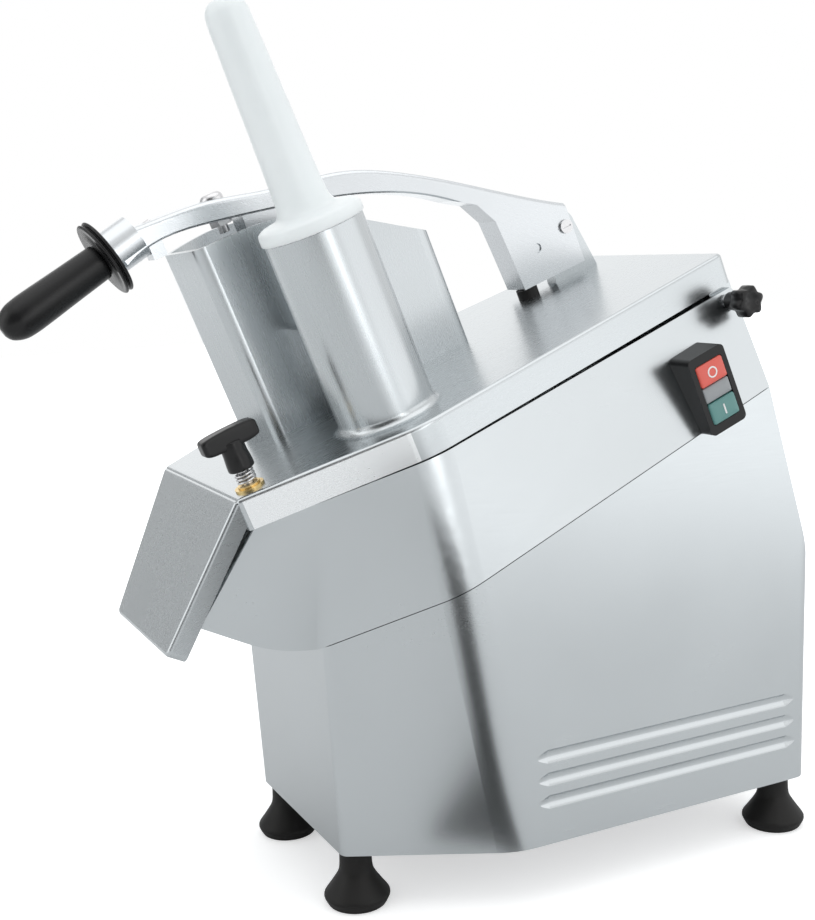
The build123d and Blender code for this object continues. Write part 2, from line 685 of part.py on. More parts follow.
with BuildPart() as lid_casting:
    add(lid_slab)
    add(hood_slab)
    add(lid_space.part, mode=Mode.SUBTRACT)
    add(hood_space.part, mode=Mode.SUBTRACT)
    with BuildPart(mode=Mode.PRIVATE) as hopper_walls:
        extrude(hopper_plan(LID.offset(-FUNNEL_DOWN)), amount=FUNNEL_DOWN + HOPPER_HEIGHT)
        add(hopper_top.part, mode=Mode.SUBTRACT)
    add(hopper_walls.part)
    add(column(on_lid(TUBE_AT, TUBE_Y), TUBE_RADIUS, -FUNNEL_DOWN, TUBE_HEIGHT))
    with BuildPart(mode=Mode.PRIVATE) as tube_foot:
        with BuildSketch(side_plane(TUBE_Y)):
            with BuildLine():
                Line((TUBE_AT, 0), (TUBE_AT + TUBE_RADIUS + TUBE_FOOT, 0))
                RadiusArc(
                    (TUBE_AT + TUBE_RADIUS + TUBE_FOOT, 0), (TUBE_AT + TUBE_RADIUS, TUBE_FOOT), TUBE_FOOT
                )
                Polyline((TUBE_AT + TUBE_RADIUS, TUBE_FOOT), (TUBE_AT, TUBE_FOOT), (TUBE_AT, 0))
            make_face()
        revolve(axis=Axis(lid_place(TUBE_AT, TUBE_Y, 0), LID.z_dir))
    add(tube_foot.part)
    add(
        lid_block(
            [(113, -2), (113 + RIB_THICK, -2), (113 + RIB_THICK, RIB_HEIGHT), (113, RIB_HEIGHT)],
            TUBE_Y, HOPPER_NEAR + 3,
        )
    )
    with BuildPart(mode=Mode.PRIVATE) as hopper_inside:
        extrude(hopper_plan(LID.offset(-60), HOPPER_WALL), amount=300)
    add(hopper_inside.part, mode=Mode.SUBTRACT)
    add(column(on_lid(TUBE_AT, TUBE_Y), TUBE_BORE, -60, TUBE_HEIGHT + 10), mode=Mode.SUBTRACT)
    with BuildPart(mode=Mode.PRIVATE) as lug:
        add(
            lid_block(
                [(PIVOT_AT - LUG_RADIUS - 8, -2), (PIVOT_AT - LUG_RADIUS, PIVOT_UP),
                 (PIVOT_AT + LUG_RADIUS, PIVOT_UP), (PIVOT_AT + LUG_RADIUS + 8, -2)],
                ARM_Y - LUG_HALF, ARM_Y + LUG_HALF,
            )
        )
        add(cross_pin(PIVOT_AT, PIVOT_UP, LUG_RADIUS, ARM_Y - LUG_HALF, ARM_Y + LUG_HALF))
        add(cross_pin(PIVOT_AT, PIVOT_UP, PIVOT_RADIUS + 0.05, 0, 100), mode=Mode.SUBTRACT)
    add(lug.part)
    add(column(on_lid(STUD_AT, STUD_Y), STUD_BOSS, -LID_SKIRT, -2))
    add(column(on_lid(STUD_AT, STUD_Y), STUD_RADIUS + 0.5, -60, 5), mode=Mode.SUBTRACT)
    add(
        lid_block(
            [(HINGE_AT - 4, -HINGE_DOWN), (HINGE_AT - 4, -LID_SKIRT + 8), (LID_LENGTH - 2, -LID_SKIRT + 8),
             (LID_LENGTH, -LID_SKIRT), (LID_LENGTH, -HINGE_DOWN)],
            -HINGE_HALF, HINGE_HALF,
        )
    )
    add(cross_pin(HINGE_AT, -HINGE_DOWN, BARREL_RADIUS, -HINGE_HALF, HINGE_HALF))
    add(cross_pin(HINGE_AT, -HINGE_DOWN, PIN_RADIUS + RUNNING, -CUT_HALF, CUT_HALF), mode=Mode.SUBTRACT)
    add(bend_trim.part, mode=Mode.SUBTRACT)
finish(lid_casting.part, "lid_casting")

# Lever arm with yoke, its bolt, grip and pressure block
ARM_ROUND = 4.0
ARM_ROUND_LOW = 1.5
ARM_TOP = [(387.4, 60.4), (319.7, 101.6), (257.0, 139.0), (214.0, 157.0), (148.0, 168.0), (105.0, 177.0),
           (64.6, 180.0), (21.0, 182.0)]
ARM_LOW = [(28.0, 157.0), (58.5, 165.0), (96.4, 162.0), (142.0, 154.0), (251.0, 124.0), (291.0, 101.0),
           (310.0, 90.0), (321.0, 71.0), (323.0, 46.0), (325.5, YOKE_FOOT), (388.0, YOKE_FOOT)]
ARM_NEAR = ARM_Y - ARM_WIDTH / 2
ARM_FAR = ARM_Y + ARM_WIDTH / 2
BOLT_HEAD = 9.0
ADJUST_AT = 110.0
ADJUST_RADIUS = 4.0
ROD_RADIUS = 5.0
COLLAR_RADIUS = 17.0
GUARD_THICK = 7.0
grip_tilt = radians(GRIP_TILT)
GRIP = Plane(
    origin=(GUARD_X, ARM_Y, GUARD_Z),
    x_dir=(sin(grip_tilt), 0, -cos(grip_tilt)),
    z_dir=(-cos(grip_tilt), 0, -sin(grip_tilt)),
)
BLOCK_NEAR = 14.5
BLOCK_IN = 171.0
BLOCK_OUT = 300.0
BLOCK_FAR = 103.0
BLOCK_LOW = -17.0
BLOCK_TOP = 30.0


def long_edges(piece, plane):
    """Edges of a piece that lie in a plane."""
    return [edge for edge in piece.edges() if abs(plane.to_local_coords(edge.center()).Z) < 0.01]


with BuildPart() as lever_arm:
    with BuildSketch(side_plane(ARM_FAR)):
        with BuildLine():
            upper = Spline(*ARM_TOP)
            lower = Spline(*ARM_LOW[:6])
            Line(upper @ 1, lower @ 0)
            Polyline(lower @ 1, *ARM_LOW[6:], upper @ 0)
        make_face()
    extrude(amount=ARM_WIDTH)
    for least, radius in ((300, ARM_ROUND), (200, ARM_ROUND_LOW)):
        for side in (ARM_FAR, ARM_NEAR):
            edges = [edge for edge in long_edges(lever_arm.part, side_plane(side)) if edge.length > least]
            fillet(edges, radius)
    add(column(GRIP, COLLAR_RADIUS, -24, -0.3))
    with BuildPart(mode=Mode.PRIVATE) as yoke_slot:
        add(
            lid_block(
                [(PIVOT_AT - 36, 0), (PIVOT_AT - 36, 64), (PIVOT_AT - 26, 74), (420, 74), (420, 0)],
                ARM_Y - YOKE_SLOT / 2, ARM_Y + YOKE_SLOT / 2,
            )
        )
    add(yoke_slot.part, mode=Mode.SUBTRACT)
    add(cross_pin(PIVOT_AT, PIVOT_UP, PIVOT_RADIUS + RUNNING, 0, 120), mode=Mode.SUBTRACT)
    add(column(on_lid(ADJUST_AT, ARM_Y), ADJUST_RADIUS + 0.05, 100, 220), mode=Mode.SUBTRACT)
    add(column(on_lid(ADJUST_AT, ARM_Y), BOLT_HEAD + 1, 174.5, 220), mode=Mode.SUBTRACT)
    add(column(on_lid(ADJUST_AT, ARM_Y), BOLT_HEAD + 1, 100, 163), mode=Mode.SUBTRACT)
    add(column(GRIP, ROD_RADIUS + 0.05, -40, 5), mode=Mode.SUBTRACT)
    add(cross_pin(PIVOT_AT - 32, PIVOT_UP - 6, 4, ARM_NEAR - 2.5, ARM_NEAR + 1.5), mode=Mode.SUBTRACT)
finish(lever_arm.part, "lever_arm")

with BuildPart() as arm_rod:
    add(column(GRIP, ROD_RADIUS, -39, 70))
finish(arm_rod.part, "arm_rod")

with BuildPart() as guard_disc:
    with BuildSketch(Plane(GRIP.origin, GRIP.x_dir, GRIP.x_dir.cross(GRIP.z_dir) * 1)):
        with BuildLine():
            Polyline(
                (ROD_RADIUS + 0.05, 0),
                (GUARD_RADIUS - 1, 0),
                (GUARD_RADIUS, 1),
                (GUARD_RADIUS, 2),
                (GUARD_RADIUS - 2.5, GUARD_THICK / 2),
                (GUARD_RADIUS, GUARD_THICK - 2),
                (GUARD_RADIUS, GUARD_THICK - 1),
                (GUARD_RADIUS - 1, GUARD_THICK),
                (ROD_RADIUS + 0.05, GUARD_THICK),
                close=True,
            )
        make_face()
    revolve(axis=Axis(GRIP.origin, GRIP.z_dir))
finish(guard_disc.part, "guard_disc")

with BuildPart() as hand_grip:
    with BuildSketch(Plane(GRIP.origin, GRIP.x_dir, GRIP.x_dir.cross(GRIP.z_dir))):
        with BuildLine():
            start = GUARD_THICK + 0.3
            end = start + GRIP_LENGTH
            Polyline((ROD_RADIUS + 0.05, start), (GRIP_RADIUS - 2.5, start), (GRIP_RADIUS - 1.5, start + 1.5))
            Line((GRIP_RADIUS - 1.5, start + 1.5), (GRIP_RADIUS, end - GRIP_RADIUS))
            ThreePointArc(
                (GRIP_RADIUS, end - GRIP_RADIUS),
                (GRIP_RADIUS / sqrt(2), end - GRIP_RADIUS * (1 - 1 / sqrt(2))),
                (0, end),
            )
            Polyline((0, end), (0, 71), (ROD_RADIUS + 0.05, 71), (ROD_RADIUS + 0.05, start))
        make_face()
    revolve(axis=Axis(GRIP.origin, GRIP.z_dir))
finish(hand_grip.part, "hand_grip")

with BuildPart() as pivot_bolt:
    add(cross_pin(PIVOT_AT, PIVOT_UP, PIVOT_RADIUS, ARM_NEAR - 0.3, ARM_FAR + 0.3))
    add(cross_pin(PIVOT_AT, PIVOT_UP, PIVOT_RADIUS + 0.8, ARM_NEAR - 2.3, ARM_NEAR - 0.3))
    add(cross_pin(PIVOT_AT, PIVOT_UP, PIVOT_RADIUS + 3, ARM_FAR + 0.3, ARM_FAR + 4.3))
    add(
        lid_block(
            [(PIVOT_AT - 4, PIVOT_UP - 0.6), (PIVOT_AT + 4, PIVOT_UP - 0.6), (PIVOT_AT + 4, PIVOT_UP + 0.6),
             (PIVOT_AT - 4, PIVOT_UP + 0.6)],
            ARM_NEAR - 3, ARM_NEAR - 1.3,
        ),
        mode=Mode.SUBTRACT,
    )
finish(pivot_bolt.part, "pivot_bolt")

with BuildPart() as adjusting_bolt:
    add(column(on_lid(ADJUST_AT, ARM_Y), ADJUST_RADIUS, 150, 175))
    add(column(on_lid(ADJUST_AT, ARM_Y), BOLT_HEAD, 174.5, 181))
    fillet(adjusting_bolt.edges().sort_by(Axis(lid_place(0, 0, 0), LID.z_dir))[-1], 4.5)
finish(adjusting_bolt.part, "adjusting_bolt")

with BuildPart() as adjusting_nut:
    with BuildSketch(on_lid(ADJUST_AT, ARM_Y).offset(156)):
        RegularPolygon(BOLT_HEAD, 6)
        Circle(ADJUST_RADIUS + 0.05, mode=Mode.SUBTRACT)
    extrude(amount=7)
finish(adjusting_nut.part, "adjusting_nut")

with BuildPart() as stop_magnet:
    add(lid_block([(49, 153), (60, 153), (60, 175), (49, 175)], ARM_NEAR + 6, ARM_FAR - 6))
    add(lever_arm.part, mode=Mode.SUBTRACT)
stop_magnet_part = stop_magnet.part.solids().sort_by(Axis(lid_place(0, 0, 0), LID.z_dir))[0]
finish(stop_magnet_part, "stop_magnet")

with BuildPart() as pressure_block:
    with BuildPart(mode=Mode.PRIVATE) as block_plan:
        with BuildSketch(LID.offset(BLOCK_LOW)):
            with BuildLine():
                Line((TUBE_AT - 80, BLOCK_NEAR), (HOPPER_BACK, BLOCK_NEAR))
                far = sqrt(BLOCK_FAR**2 - 90**2)
                Line((HOPPER_BACK, BLOCK_NEAR), (HOPPER_BACK, far))
                ThreePointArc((HOPPER_BACK, far), (160, BLOCK_FAR), (70, far))
                Polyline((70, far), (TUBE_AT - 80, far), (TUBE_AT - 80, BLOCK_NEAR))
            make_face()
        extrude(amount=BLOCK_TOP - BLOCK_LOW)
    add(block_plan.part)
    add(cross_pin(PIVOT_AT, PIVOT_UP, BLOCK_OUT, 0, 120), mode=Mode.INTERSECT)
    add(cross_pin(PIVOT_AT, PIVOT_UP, BLOCK_IN, 0, 120), mode=Mode.SUBTRACT)
    with BuildPart(mode=Mode.PRIVATE) as neck:
        add(
            lid_block(
                [(121, BLOCK_TOP - 4), (192, BLOCK_TOP - 4), (184, 150), (123, 165)],
                ARM_Y - 13,
                ARM_Y + 13,
            )
        )
        add(lever_arm.part, mode=Mode.SUBTRACT)
        add(lid_block([(60, 163), (142, 156), (251, 128), (251, 240), (60, 240)], 0, 120), mode=Mode.SUBTRACT)
    add(neck.part)
finish(pressure_block.part, "pressure_block")

# Round pusher with its stick, rubber buffer
with BuildPart() as round_pusher:
    with BuildSketch(side_plane(TUBE_Y)):
        with BuildLine():
            body = TUBE_BORE - TUBE_RUN
            Polyline(
                (TUBE_AT, BLOCK_LOW),
                (TUBE_AT + body - 1.5, BLOCK_LOW),
                (TUBE_AT + body, BLOCK_LOW + 1.5),
                (TUBE_AT + body, TUBE_HEIGHT + 0.3),
                (TUBE_AT + PUSHER_CAP_RADIUS - 0.8, TUBE_HEIGHT + 0.3),
                (TUBE_AT + PUSHER_CAP_RADIUS, TUBE_HEIGHT + 1.1),
                (TUBE_AT + PUSHER_CAP_RADIUS, TUBE_HEIGHT + 7),
            )
            ThreePointArc(
                (TUBE_AT + PUSHER_CAP_RADIUS, TUBE_HEIGHT + 7),
                (TUBE_AT + PUSHER_CAP_RADIUS - 2, TUBE_HEIGHT + 10),
                (TUBE_AT + PUSHER_CAP_RADIUS - 6, TUBE_HEIGHT + PUSHER_CAP),
            )
            Line(
                (TUBE_AT + PUSHER_CAP_RADIUS - 6, TUBE_HEIGHT + PUSHER_CAP),
                (TUBE_AT + PUSHER_STICK_LOW + 5, TUBE_HEIGHT + PUSHER_CAP + 2),
            )
            ThreePointArc(
                (TUBE_AT + PUSHER_STICK_LOW + 5, TUBE_HEIGHT + PUSHER_CAP + 2),
                (TUBE_AT + PUSHER_STICK_LOW + 1.2, TUBE_HEIGHT + PUSHER_CAP + 6.5),
                (TUBE_AT + PUSHER_STICK_LOW, TUBE_HEIGHT + PUSHER_CAP + 14),
            )
            tip_centre = TUBE_HEIGHT + PUSHER_STICK + 10 - PUSHER_STICK_TOP
            Line(
                (TUBE_AT + PUSHER_STICK_LOW, TUBE_HEIGHT + PUSHER_CAP + 14),
                (TUBE_AT + PUSHER_STICK_TOP, tip_centre),
            )
            ThreePointArc(
                (TUBE_AT + PUSHER_STICK_TOP, tip_centre),
                (TUBE_AT + PUSHER_STICK_TOP / sqrt(2), tip_centre + PUSHER_STICK_TOP / sqrt(2)),
                (TUBE_AT, tip_centre + PUSHER_STICK_TOP),
            )
            Line((TUBE_AT, TUBE_HEIGHT + PUSHER_STICK + 10), (TUBE_AT, BLOCK_LOW))
        make_face()
    revolve(axis=Axis(lid_place(TUBE_AT, TUBE_Y, 0), LID.z_dir))
finish(round_pusher.part, "round_pusher")

with BuildPart() as rubber_buffer:
    add(column(on_lid(331, ARM_NEAR + 8), 9, 0, YOKE_FOOT - 0.5))
finish(rubber_buffer.part, "rubber_buffer")

# Lock knob with stud, spring, washer and insert
KNOB_LOW = 14.0
KNOB_HUB = 9.5
with BuildPart() as lock_washer:
    add(column(on_lid(STUD_AT, STUD_Y), 10.5, 0, 1.6, STUD_RADIUS + 0.4))
    add(column(on_lid(STUD_AT, STUD_Y), 8, 1.6, 3, STUD_RADIUS + 0.4))
finish(lock_washer.part, "lock_washer")

with BuildPart() as lock_spring:
    spring_plane = on_lid(STUD_AT, STUD_Y).offset(4.1)
    coil = Helix(pitch=3.2, height=8.6, radius=6.4, center=spring_plane.origin, direction=spring_plane.z_dir)
    with BuildLine():
        add(coil)
    with BuildSketch(Plane(coil @ 0, z_dir=coil % 0)):
        RegularPolygon(1.0, 6)
    sweep()
finish(lock_spring.part, "lock_spring")

with BuildPart() as lock_knob:
    add(column(on_lid(STUD_AT, STUD_Y), KNOB_HUB, KNOB_LOW, 33))
    with BuildPart(mode=Mode.PRIVATE) as wing:
        with BuildSketch(side_plane(STUD_Y + 5)):
            with BuildLine():
                Line((STUD_AT - 21, 30), (STUD_AT + 21, 30))
                Line((STUD_AT + 21, 30), (STUD_AT + 21, 38))
                ThreePointArc((STUD_AT + 21, 38), (STUD_AT, 45), (STUD_AT - 21, 38))
                Line((STUD_AT - 21, 38), (STUD_AT - 21, 30))
            make_face()
        extrude(amount=10)
    add(wing.part)
    add(column(on_lid(STUD_AT, STUD_Y), STUD_RADIUS + 0.05, 0, 30), mode=Mode.SUBTRACT)
finish(lock_knob.part, "lock_knob")

with BuildPart() as lock_stud:
    add(column(on_lid(STUD_AT, STUD_Y), STUD_RADIUS, INSERT_LOW + 3, 29.5))
finish(lock_stud.part, "lock_stud")

with BuildPart() as stud_insert:
    add(column(on_lid(STUD_AT, STUD_Y), INSERT_RADIUS, INSERT_LOW + 0.1, INSERT_HIGH, STUD_RADIUS + 0.7))
finish(stud_insert.part, "stud_insert")

# Hinge pin with star knob
STAR_NEAR = -135.0
STAR_FAR = -121.0
WALL_NEAR = -109.5
with BuildPart() as hinge_pin:
    add(cross_pin(HINGE_AT, -HINGE_DOWN, PIN_RADIUS, STAR_FAR + 3, HINGE_ROOM + 4.5))
finish(hinge_pin.part, "hinge_pin")

with BuildPart() as hinge_knob:
    star_plane = Plane(lid_place(HINGE_AT, STAR_FAR, -HINGE_DOWN), LID.x_dir, (0, -1, 0))
    with BuildSketch(star_plane.offset(0)):
        Circle(9.5)
        with PolarLocations(8.8, 6):
            Circle(3.4)
    extrude(amount=STAR_FAR - STAR_NEAR)
    add(cross_pin(HINGE_AT, -HINGE_DOWN, 7, STAR_FAR, WALL_NEAR))
    add(cross_pin(HINGE_AT, -HINGE_DOWN, PIN_RADIUS + 0.05, STAR_FAR + 3, WALL_NEAR), mode=Mode.SUBTRACT)
finish(hinge_knob.part, "hinge_knob")

# Switch: housing let into the side wall, lens, two sprung buttons, contact block
HOUSING_WIDE = 34.0
HOUSING_HIGH = 62.0
POCKET_DEEP = 12.0
LENS_HIGH = 12.0
BUTTON_AT = LENS_HIGH / 2 + 0.6 + BUTTON_HEIGHT / 2
BUTTON_PROUD = 1.5
BUTTON_LOW = -POCKET_DEEP + BUTTON_TRAVEL + 1
with BuildPart() as switch_housing:
    add(switch_block(HOUSING_WIDE, HOUSING_HIGH, 4, -34, 0))
    add(chamber_form.part, mode=Mode.SUBTRACT)
    add(base_form.part, mode=Mode.SUBTRACT)
    add(switch_block(*SWITCH_BODY, 3, -44, -8))
    pocket_high = 2 * BUTTON_AT + BUTTON_HEIGHT + 0.6
    add(switch_block(BUTTON_WIDTH + 0.6, pocket_high, 2, -POCKET_DEEP, 1), mode=Mode.SUBTRACT)
finish(switch_housing.part, "switch_housing")

with BuildPart() as switch_lens:
    add(switch_block(BUTTON_WIDTH, LENS_HIGH, 1.5, -POCKET_DEEP, 0.5))
finish(switch_lens.part, "switch_lens")

with BuildPart() as stop_button:
    add(switch_block(BUTTON_WIDTH, BUTTON_HEIGHT, 1.5, BUTTON_LOW, BUTTON_PROUD, BUTTON_AT))
    with BuildSketch(SWITCH.offset(BUTTON_PROUD - 0.1)):
        with Locations((0, BUTTON_AT)):
            Circle(4.2)
            Circle(3.2, mode=Mode.SUBTRACT)
    extrude(amount=0.5)
finish(stop_button.part, "stop_button")

with BuildPart() as start_button:
    add(switch_block(BUTTON_WIDTH, BUTTON_HEIGHT, 1.5, BUTTON_LOW, BUTTON_PROUD, -BUTTON_AT))
    with BuildSketch(SWITCH.offset(BUTTON_PROUD - 0.1)):
        with Locations((0, -BUTTON_AT)):
            Rectangle(1.2, 8)
    extrude(amount=0.5)
finish(start_button.part, "start_button")

with BuildPart() as contact_block:
    add(switch_block(SWITCH_BODY[0] - 3, SWITCH_BODY[1] - 4, 2, -68, -44))
finish(contact_block.part, "contact_block")

# Feet and their bolts, bottom plate, fasteners
for name, place in zip(FOOT_NAMES, FOOT_PLACES):
    with BuildPart() as foot:
        with BuildSketch(Plane((place[0], place[1], 0), (1, 0, 0), (0, -1, 0))):
            with BuildLine():
                Polyline((FOOT_BOLT + 0.05, BASE_Z), (FOOT_NECK, BASE_Z), (FOOT_NECK, 31))
                Polyline(
                    (FOOT_NECK, 31), (FOOT_NECK + 0.9, 26), (FOOT_NECK + 3.2, 22), (FOOT_NECK + 6.6, 18),
                    (FOOT_RADIUS - 1.8, 14), (FOOT_RADIUS, 9), (FOOT_RADIUS - 1.2, 4), (FOOT_RADIUS - 4, 0),
                )
                Polyline(
                    (FOOT_RADIUS - 4, 0), (FOOT_HEAD + 2, 0), (FOOT_HEAD + 1, FOOT_HEAD_TOP),
                    (FOOT_BOLT + 0.05, FOOT_HEAD_TOP), (FOOT_BOLT + 0.05, BASE_Z),
                )
            make_face()
        revolve(axis=Axis((place[0], place[1], 0), (0, 0, 1)))
    finish(foot.part, f"foot_{name}")

with BuildPart() as foot_bolts:
    for place in FOOT_PLACES:
        add(column(upright(place), FOOT_BOLT, FOOT_HEAD_TOP, BASE_Z + FOOT_BOSS - 4))
        add(column(upright(place), FOOT_HEAD, FOOT_HEAD_TOP - 5, FOOT_HEAD_TOP))
finish(foot_bolts.part, "foot_bolts")

with BuildPart() as bottom_plate:
    extrude(outline(Plane.XY.offset(PLATE_BOTTOM), base_low, CORNERS, CAST_WALL + 0.8), amount=PLATE_THICK)
    for place in FOOT_PLACES:
        add(column(upright(place), FOOT_BOSS + 0.5, 30, 60), mode=Mode.SUBTRACT)
    for place in LUG_PLACES:
        add(column(upright(place), 2.3, 30, 60), mode=Mode.SUBTRACT)
    with BuildSketch(Plane.XY.offset(PLATE_BOTTOM)):
        with GridLocations(14, 60, 9, 2):
            SlotOverall(44, 5, rotation=90)
    extrude(amount=PLATE_THICK, mode=Mode.SUBTRACT)
finish(bottom_plate.part, "bottom_plate")

with BuildPart() as plate_screws:
    for place in LUG_PLACES:
        add(column(upright(place), 2.0, PLATE_BOTTOM, LUG_TOP - 4))
        add(column(upright(place), 3.4, PLATE_BOTTOM - 2.2, PLATE_BOTTOM))
finish(plate_screws.part, "plate_screws")

with BuildPart() as flange_screws:
    for place in FLANGE_PLACES:
        add(column(on_parting(place), FLANGE_BOLT, -FLANGE_DEEP, FLANGE_UP - 4))
        add(column(on_parting(place), 5.0, -FLANGE_DEEP - 5, -FLANGE_DEEP))
finish(flange_screws.part, "flange_screws")

# Cutting disc with blades, ejector plate, shaft and bearings
DISC_TOP = -24.0
DISC_THICK = 3.0
HUB_RADIUS = 22.0
EJECTOR_TOP = -BOWL_DEPTH + 16.0
VANE_TOP = DISC_TOP - 24.0
EJECTOR_RADIUS = 98.0
disc_plane = on_lid(DISC_AT, 0)
with BuildPart() as cutting_disc:
    with BuildSketch(disc_plane.offset(DISC_TOP - DISC_THICK)):
        Circle(DISC_RADIUS)
        Circle(SHAFT_RADIUS + 0.05, mode=Mode.SUBTRACT)
        with PolarLocations(0, 2):
            with Locations((62, 0)):
                Rectangle(66, 11, mode=Mode.SUBTRACT)
    extrude(amount=DISC_THICK)
    add(column(disc_plane, DISC_RADIUS, DISC_TOP - 12, DISC_TOP - DISC_THICK, DISC_RADIUS - 4))
    add(column(disc_plane, HUB_RADIUS, DISC_TOP - 16, DISC_TOP - DISC_THICK, SHAFT_RADIUS + 0.05))
finish(cutting_disc.part, "cutting_disc")

with BuildPart() as slicing_blades:
    for turn in (0, 180):
        with BuildPart(mode=Mode.PRIVATE) as blade:
            outward = disc_plane.x_dir.rotate(Axis((0, 0, 0), LID.z_dir), turn)
            with BuildSketch(Plane(disc_plane.origin + outward * 31, LID.z_dir.cross(outward), outward)):
                with BuildLine():
                    Polyline(
                        (16, DISC_TOP), (16, DISC_TOP + 1.6), (5, DISC_TOP + 2.4), (-4, DISC_TOP + 2.0),
                        (5, DISC_TOP + 1.0), (7, DISC_TOP), close=True,
                    )
                make_face()
            extrude(amount=62)
        add(blade.part)
finish(slicing_blades.part, "slicing_blades")

with BuildPart() as ejector_plate:
    add(column(disc_plane, EJECTOR_RADIUS, EJECTOR_TOP - 3, EJECTOR_TOP, SHAFT_RADIUS + 0.05))
    add(column(disc_plane, HUB_RADIUS, EJECTOR_TOP - 8, DISC_TOP - 20, SHAFT_RADIUS + 0.05))
    with BuildSketch(disc_plane.offset(EJECTOR_TOP)):
        with PolarLocations(57, 4):
            Rectangle(78, 4)
    extrude(amount=VANE_TOP - EJECTOR_TOP)
finish(ejector_plate.part, "ejector_plate")

with BuildPart() as disc_nut:
    with BuildSketch(disc_plane.offset(DISC_TOP)):
        RegularPolygon(15, 6)
    extrude(amount=5)
finish(disc_nut.part, "disc_nut")

SHAFT_END = LOWER_BEARING - 43.0
with BuildPart() as main_shaft:
    add(column(disc_plane, SHAFT_RADIUS, SHAFT_END, DISC_TOP))
finish(main_shaft.part, "main_shaft")

for name, low in (("upper_bearing", UPPER_BEARING), ("lower_bearing", LOWER_BEARING)):
    with BuildPart() as bearing:
        high = low + BEARING_WIDE - 0.1
        add(column(disc_plane, BEARING_RADIUS - 0.05, low + 0.1, high, SHAFT_RADIUS + RUNNING))
        for face in (low + 0.1, low + BEARING_WIDE - 1.1):
            add(column(disc_plane, 17.5, face, face + 1, 13.5), mode=Mode.SUBTRACT)
    finish(bearing.part, name)

with BuildPart() as shaft_seal:
    add(column(disc_plane, SEAL_RADIUS - 0.05, -BOWL_DEPTH - 5.8, -BOWL_DEPTH, SHAFT_RADIUS + RUNNING))
finish(shaft_seal.part, "shaft_seal")

with BuildPart() as shaft_spacer:
    spacer_low = LOWER_BEARING + BEARING_WIDE + 0.3
    add(column(disc_plane, SHAFT_RADIUS + 2.4, spacer_low, UPPER_BEARING - 0.3, SHAFT_RADIUS + 0.05))
finish(shaft_spacer.part, "shaft_spacer")

with BuildPart() as retaining_ring:
    add(column(disc_plane, BEARING_RADIUS - 0.05, LOWER_BEARING - 2, LOWER_BEARING, BEARING_RADIUS - 4))
finish(retaining_ring.part, "retaining_ring")

# Belt drive and motor
PULLEY_HIGH = LOWER_BEARING - 15.0
PULLEY_LOW = PULLEY_HIGH - 22.0
BELT_MIDDLE = (PULLEY_HIGH + PULLEY_LOW) / 2
BELT_GAP = 0.3
motor_plane = on_lid(MOTOR_AT, 0)
with BuildPart() as driven_pulley:
    add(column(disc_plane, DRIVEN_RADIUS, PULLEY_LOW, PULLEY_HIGH, DRIVEN_RADIUS - 8))
    add(column(disc_plane, DRIVEN_RADIUS - 4, BELT_MIDDLE - 3, BELT_MIDDLE + 3, SHAFT_RADIUS + 0.05))
    add(column(disc_plane, HUB_RADIUS, PULLEY_LOW, PULLEY_HIGH, SHAFT_RADIUS + 0.05))
    with BuildSketch(disc_plane.offset(BELT_MIDDLE - 3)):
        with PolarLocations(44, 6):
            Circle(13)
    extrude(amount=6, mode=Mode.SUBTRACT)
finish(driven_pulley.part, "driven_pulley")

MOTOR_SHAFT = 8.0
with BuildPart() as motor_pulley:
    add(column(motor_plane, DRIVER_RADIUS, PULLEY_LOW, PULLEY_HIGH, MOTOR_SHAFT + 0.05))
finish(motor_pulley.part, "motor_pulley")

with BuildPart() as drive_belt:
    run = MOTOR_AT - DISC_AT
    turn = degrees(atan2(sqrt(run**2 - (DRIVEN_RADIUS - DRIVER_RADIUS) ** 2), DRIVEN_RADIUS - DRIVER_RADIUS))
    for thick, mode in ((BELT_GAP + BELT_THICK, Mode.ADD), (BELT_GAP, Mode.SUBTRACT)):
        big = DRIVEN_RADIUS + thick
        small = DRIVER_RADIUS + thick
        with BuildPart(mode=Mode.PRIVATE) as loop:
            with BuildSketch(disc_plane.offset(BELT_MIDDLE - BELT_WIDTH / 2)):
                Circle(big)
                with Locations((run, 0)):
                    Circle(small)
                with BuildLine():
                    c, d = cos(radians(turn)), sin(radians(turn))
                    Polyline(
                        (big * c, big * d), (run + small * c, small * d), (run + small * c, -small * d),
                        (big * c, -big * d), close=True,
                    )
                make_face()
            extrude(amount=BELT_WIDTH)
        add(loop.part, mode=mode)
finish(drive_belt.part, "drive_belt")

PLATE_HIGH = PULLEY_LOW - 6.0
PLATE_LOW = PLATE_HIGH - 6.0
MOTOR_HIGH = PLATE_LOW - 6.0
MOTOR_LOW = MOTOR_HIGH - 120.0
CAP_HIGH = 12.0
with BuildPart() as motor_plate:
    with BuildSketch(motor_plane.offset(PLATE_LOW)):
        RectangleRounded(120, 2 * POST_Y + 24, 10)
        Circle(MOTOR_SHAFT + 6, mode=Mode.SUBTRACT)
        with GridLocations(2 * POST_AT, 2 * POST_Y, 2, 2):
            Circle(POST_RADIUS / 2 + 0.05, mode=Mode.SUBTRACT)
    extrude(amount=PLATE_HIGH - PLATE_LOW)
finish(motor_plate.part, "motor_plate")

with BuildPart() as motor_posts:
    for along, side in POST_PLACES:
        add(column(on_lid(along, side), POST_RADIUS, PLATE_HIGH, -44))
        add(column(on_lid(along, side), POST_RADIUS / 2, PLATE_LOW - 6, -35))
finish(motor_posts.part, "motor_posts")

with BuildPart() as motor_end_upper:
    add(column(motor_plane, MOTOR_RADIUS, MOTOR_HIGH, PLATE_LOW, MOTOR_SHAFT + 0.4))
finish(motor_end_upper.part, "motor_end_upper")

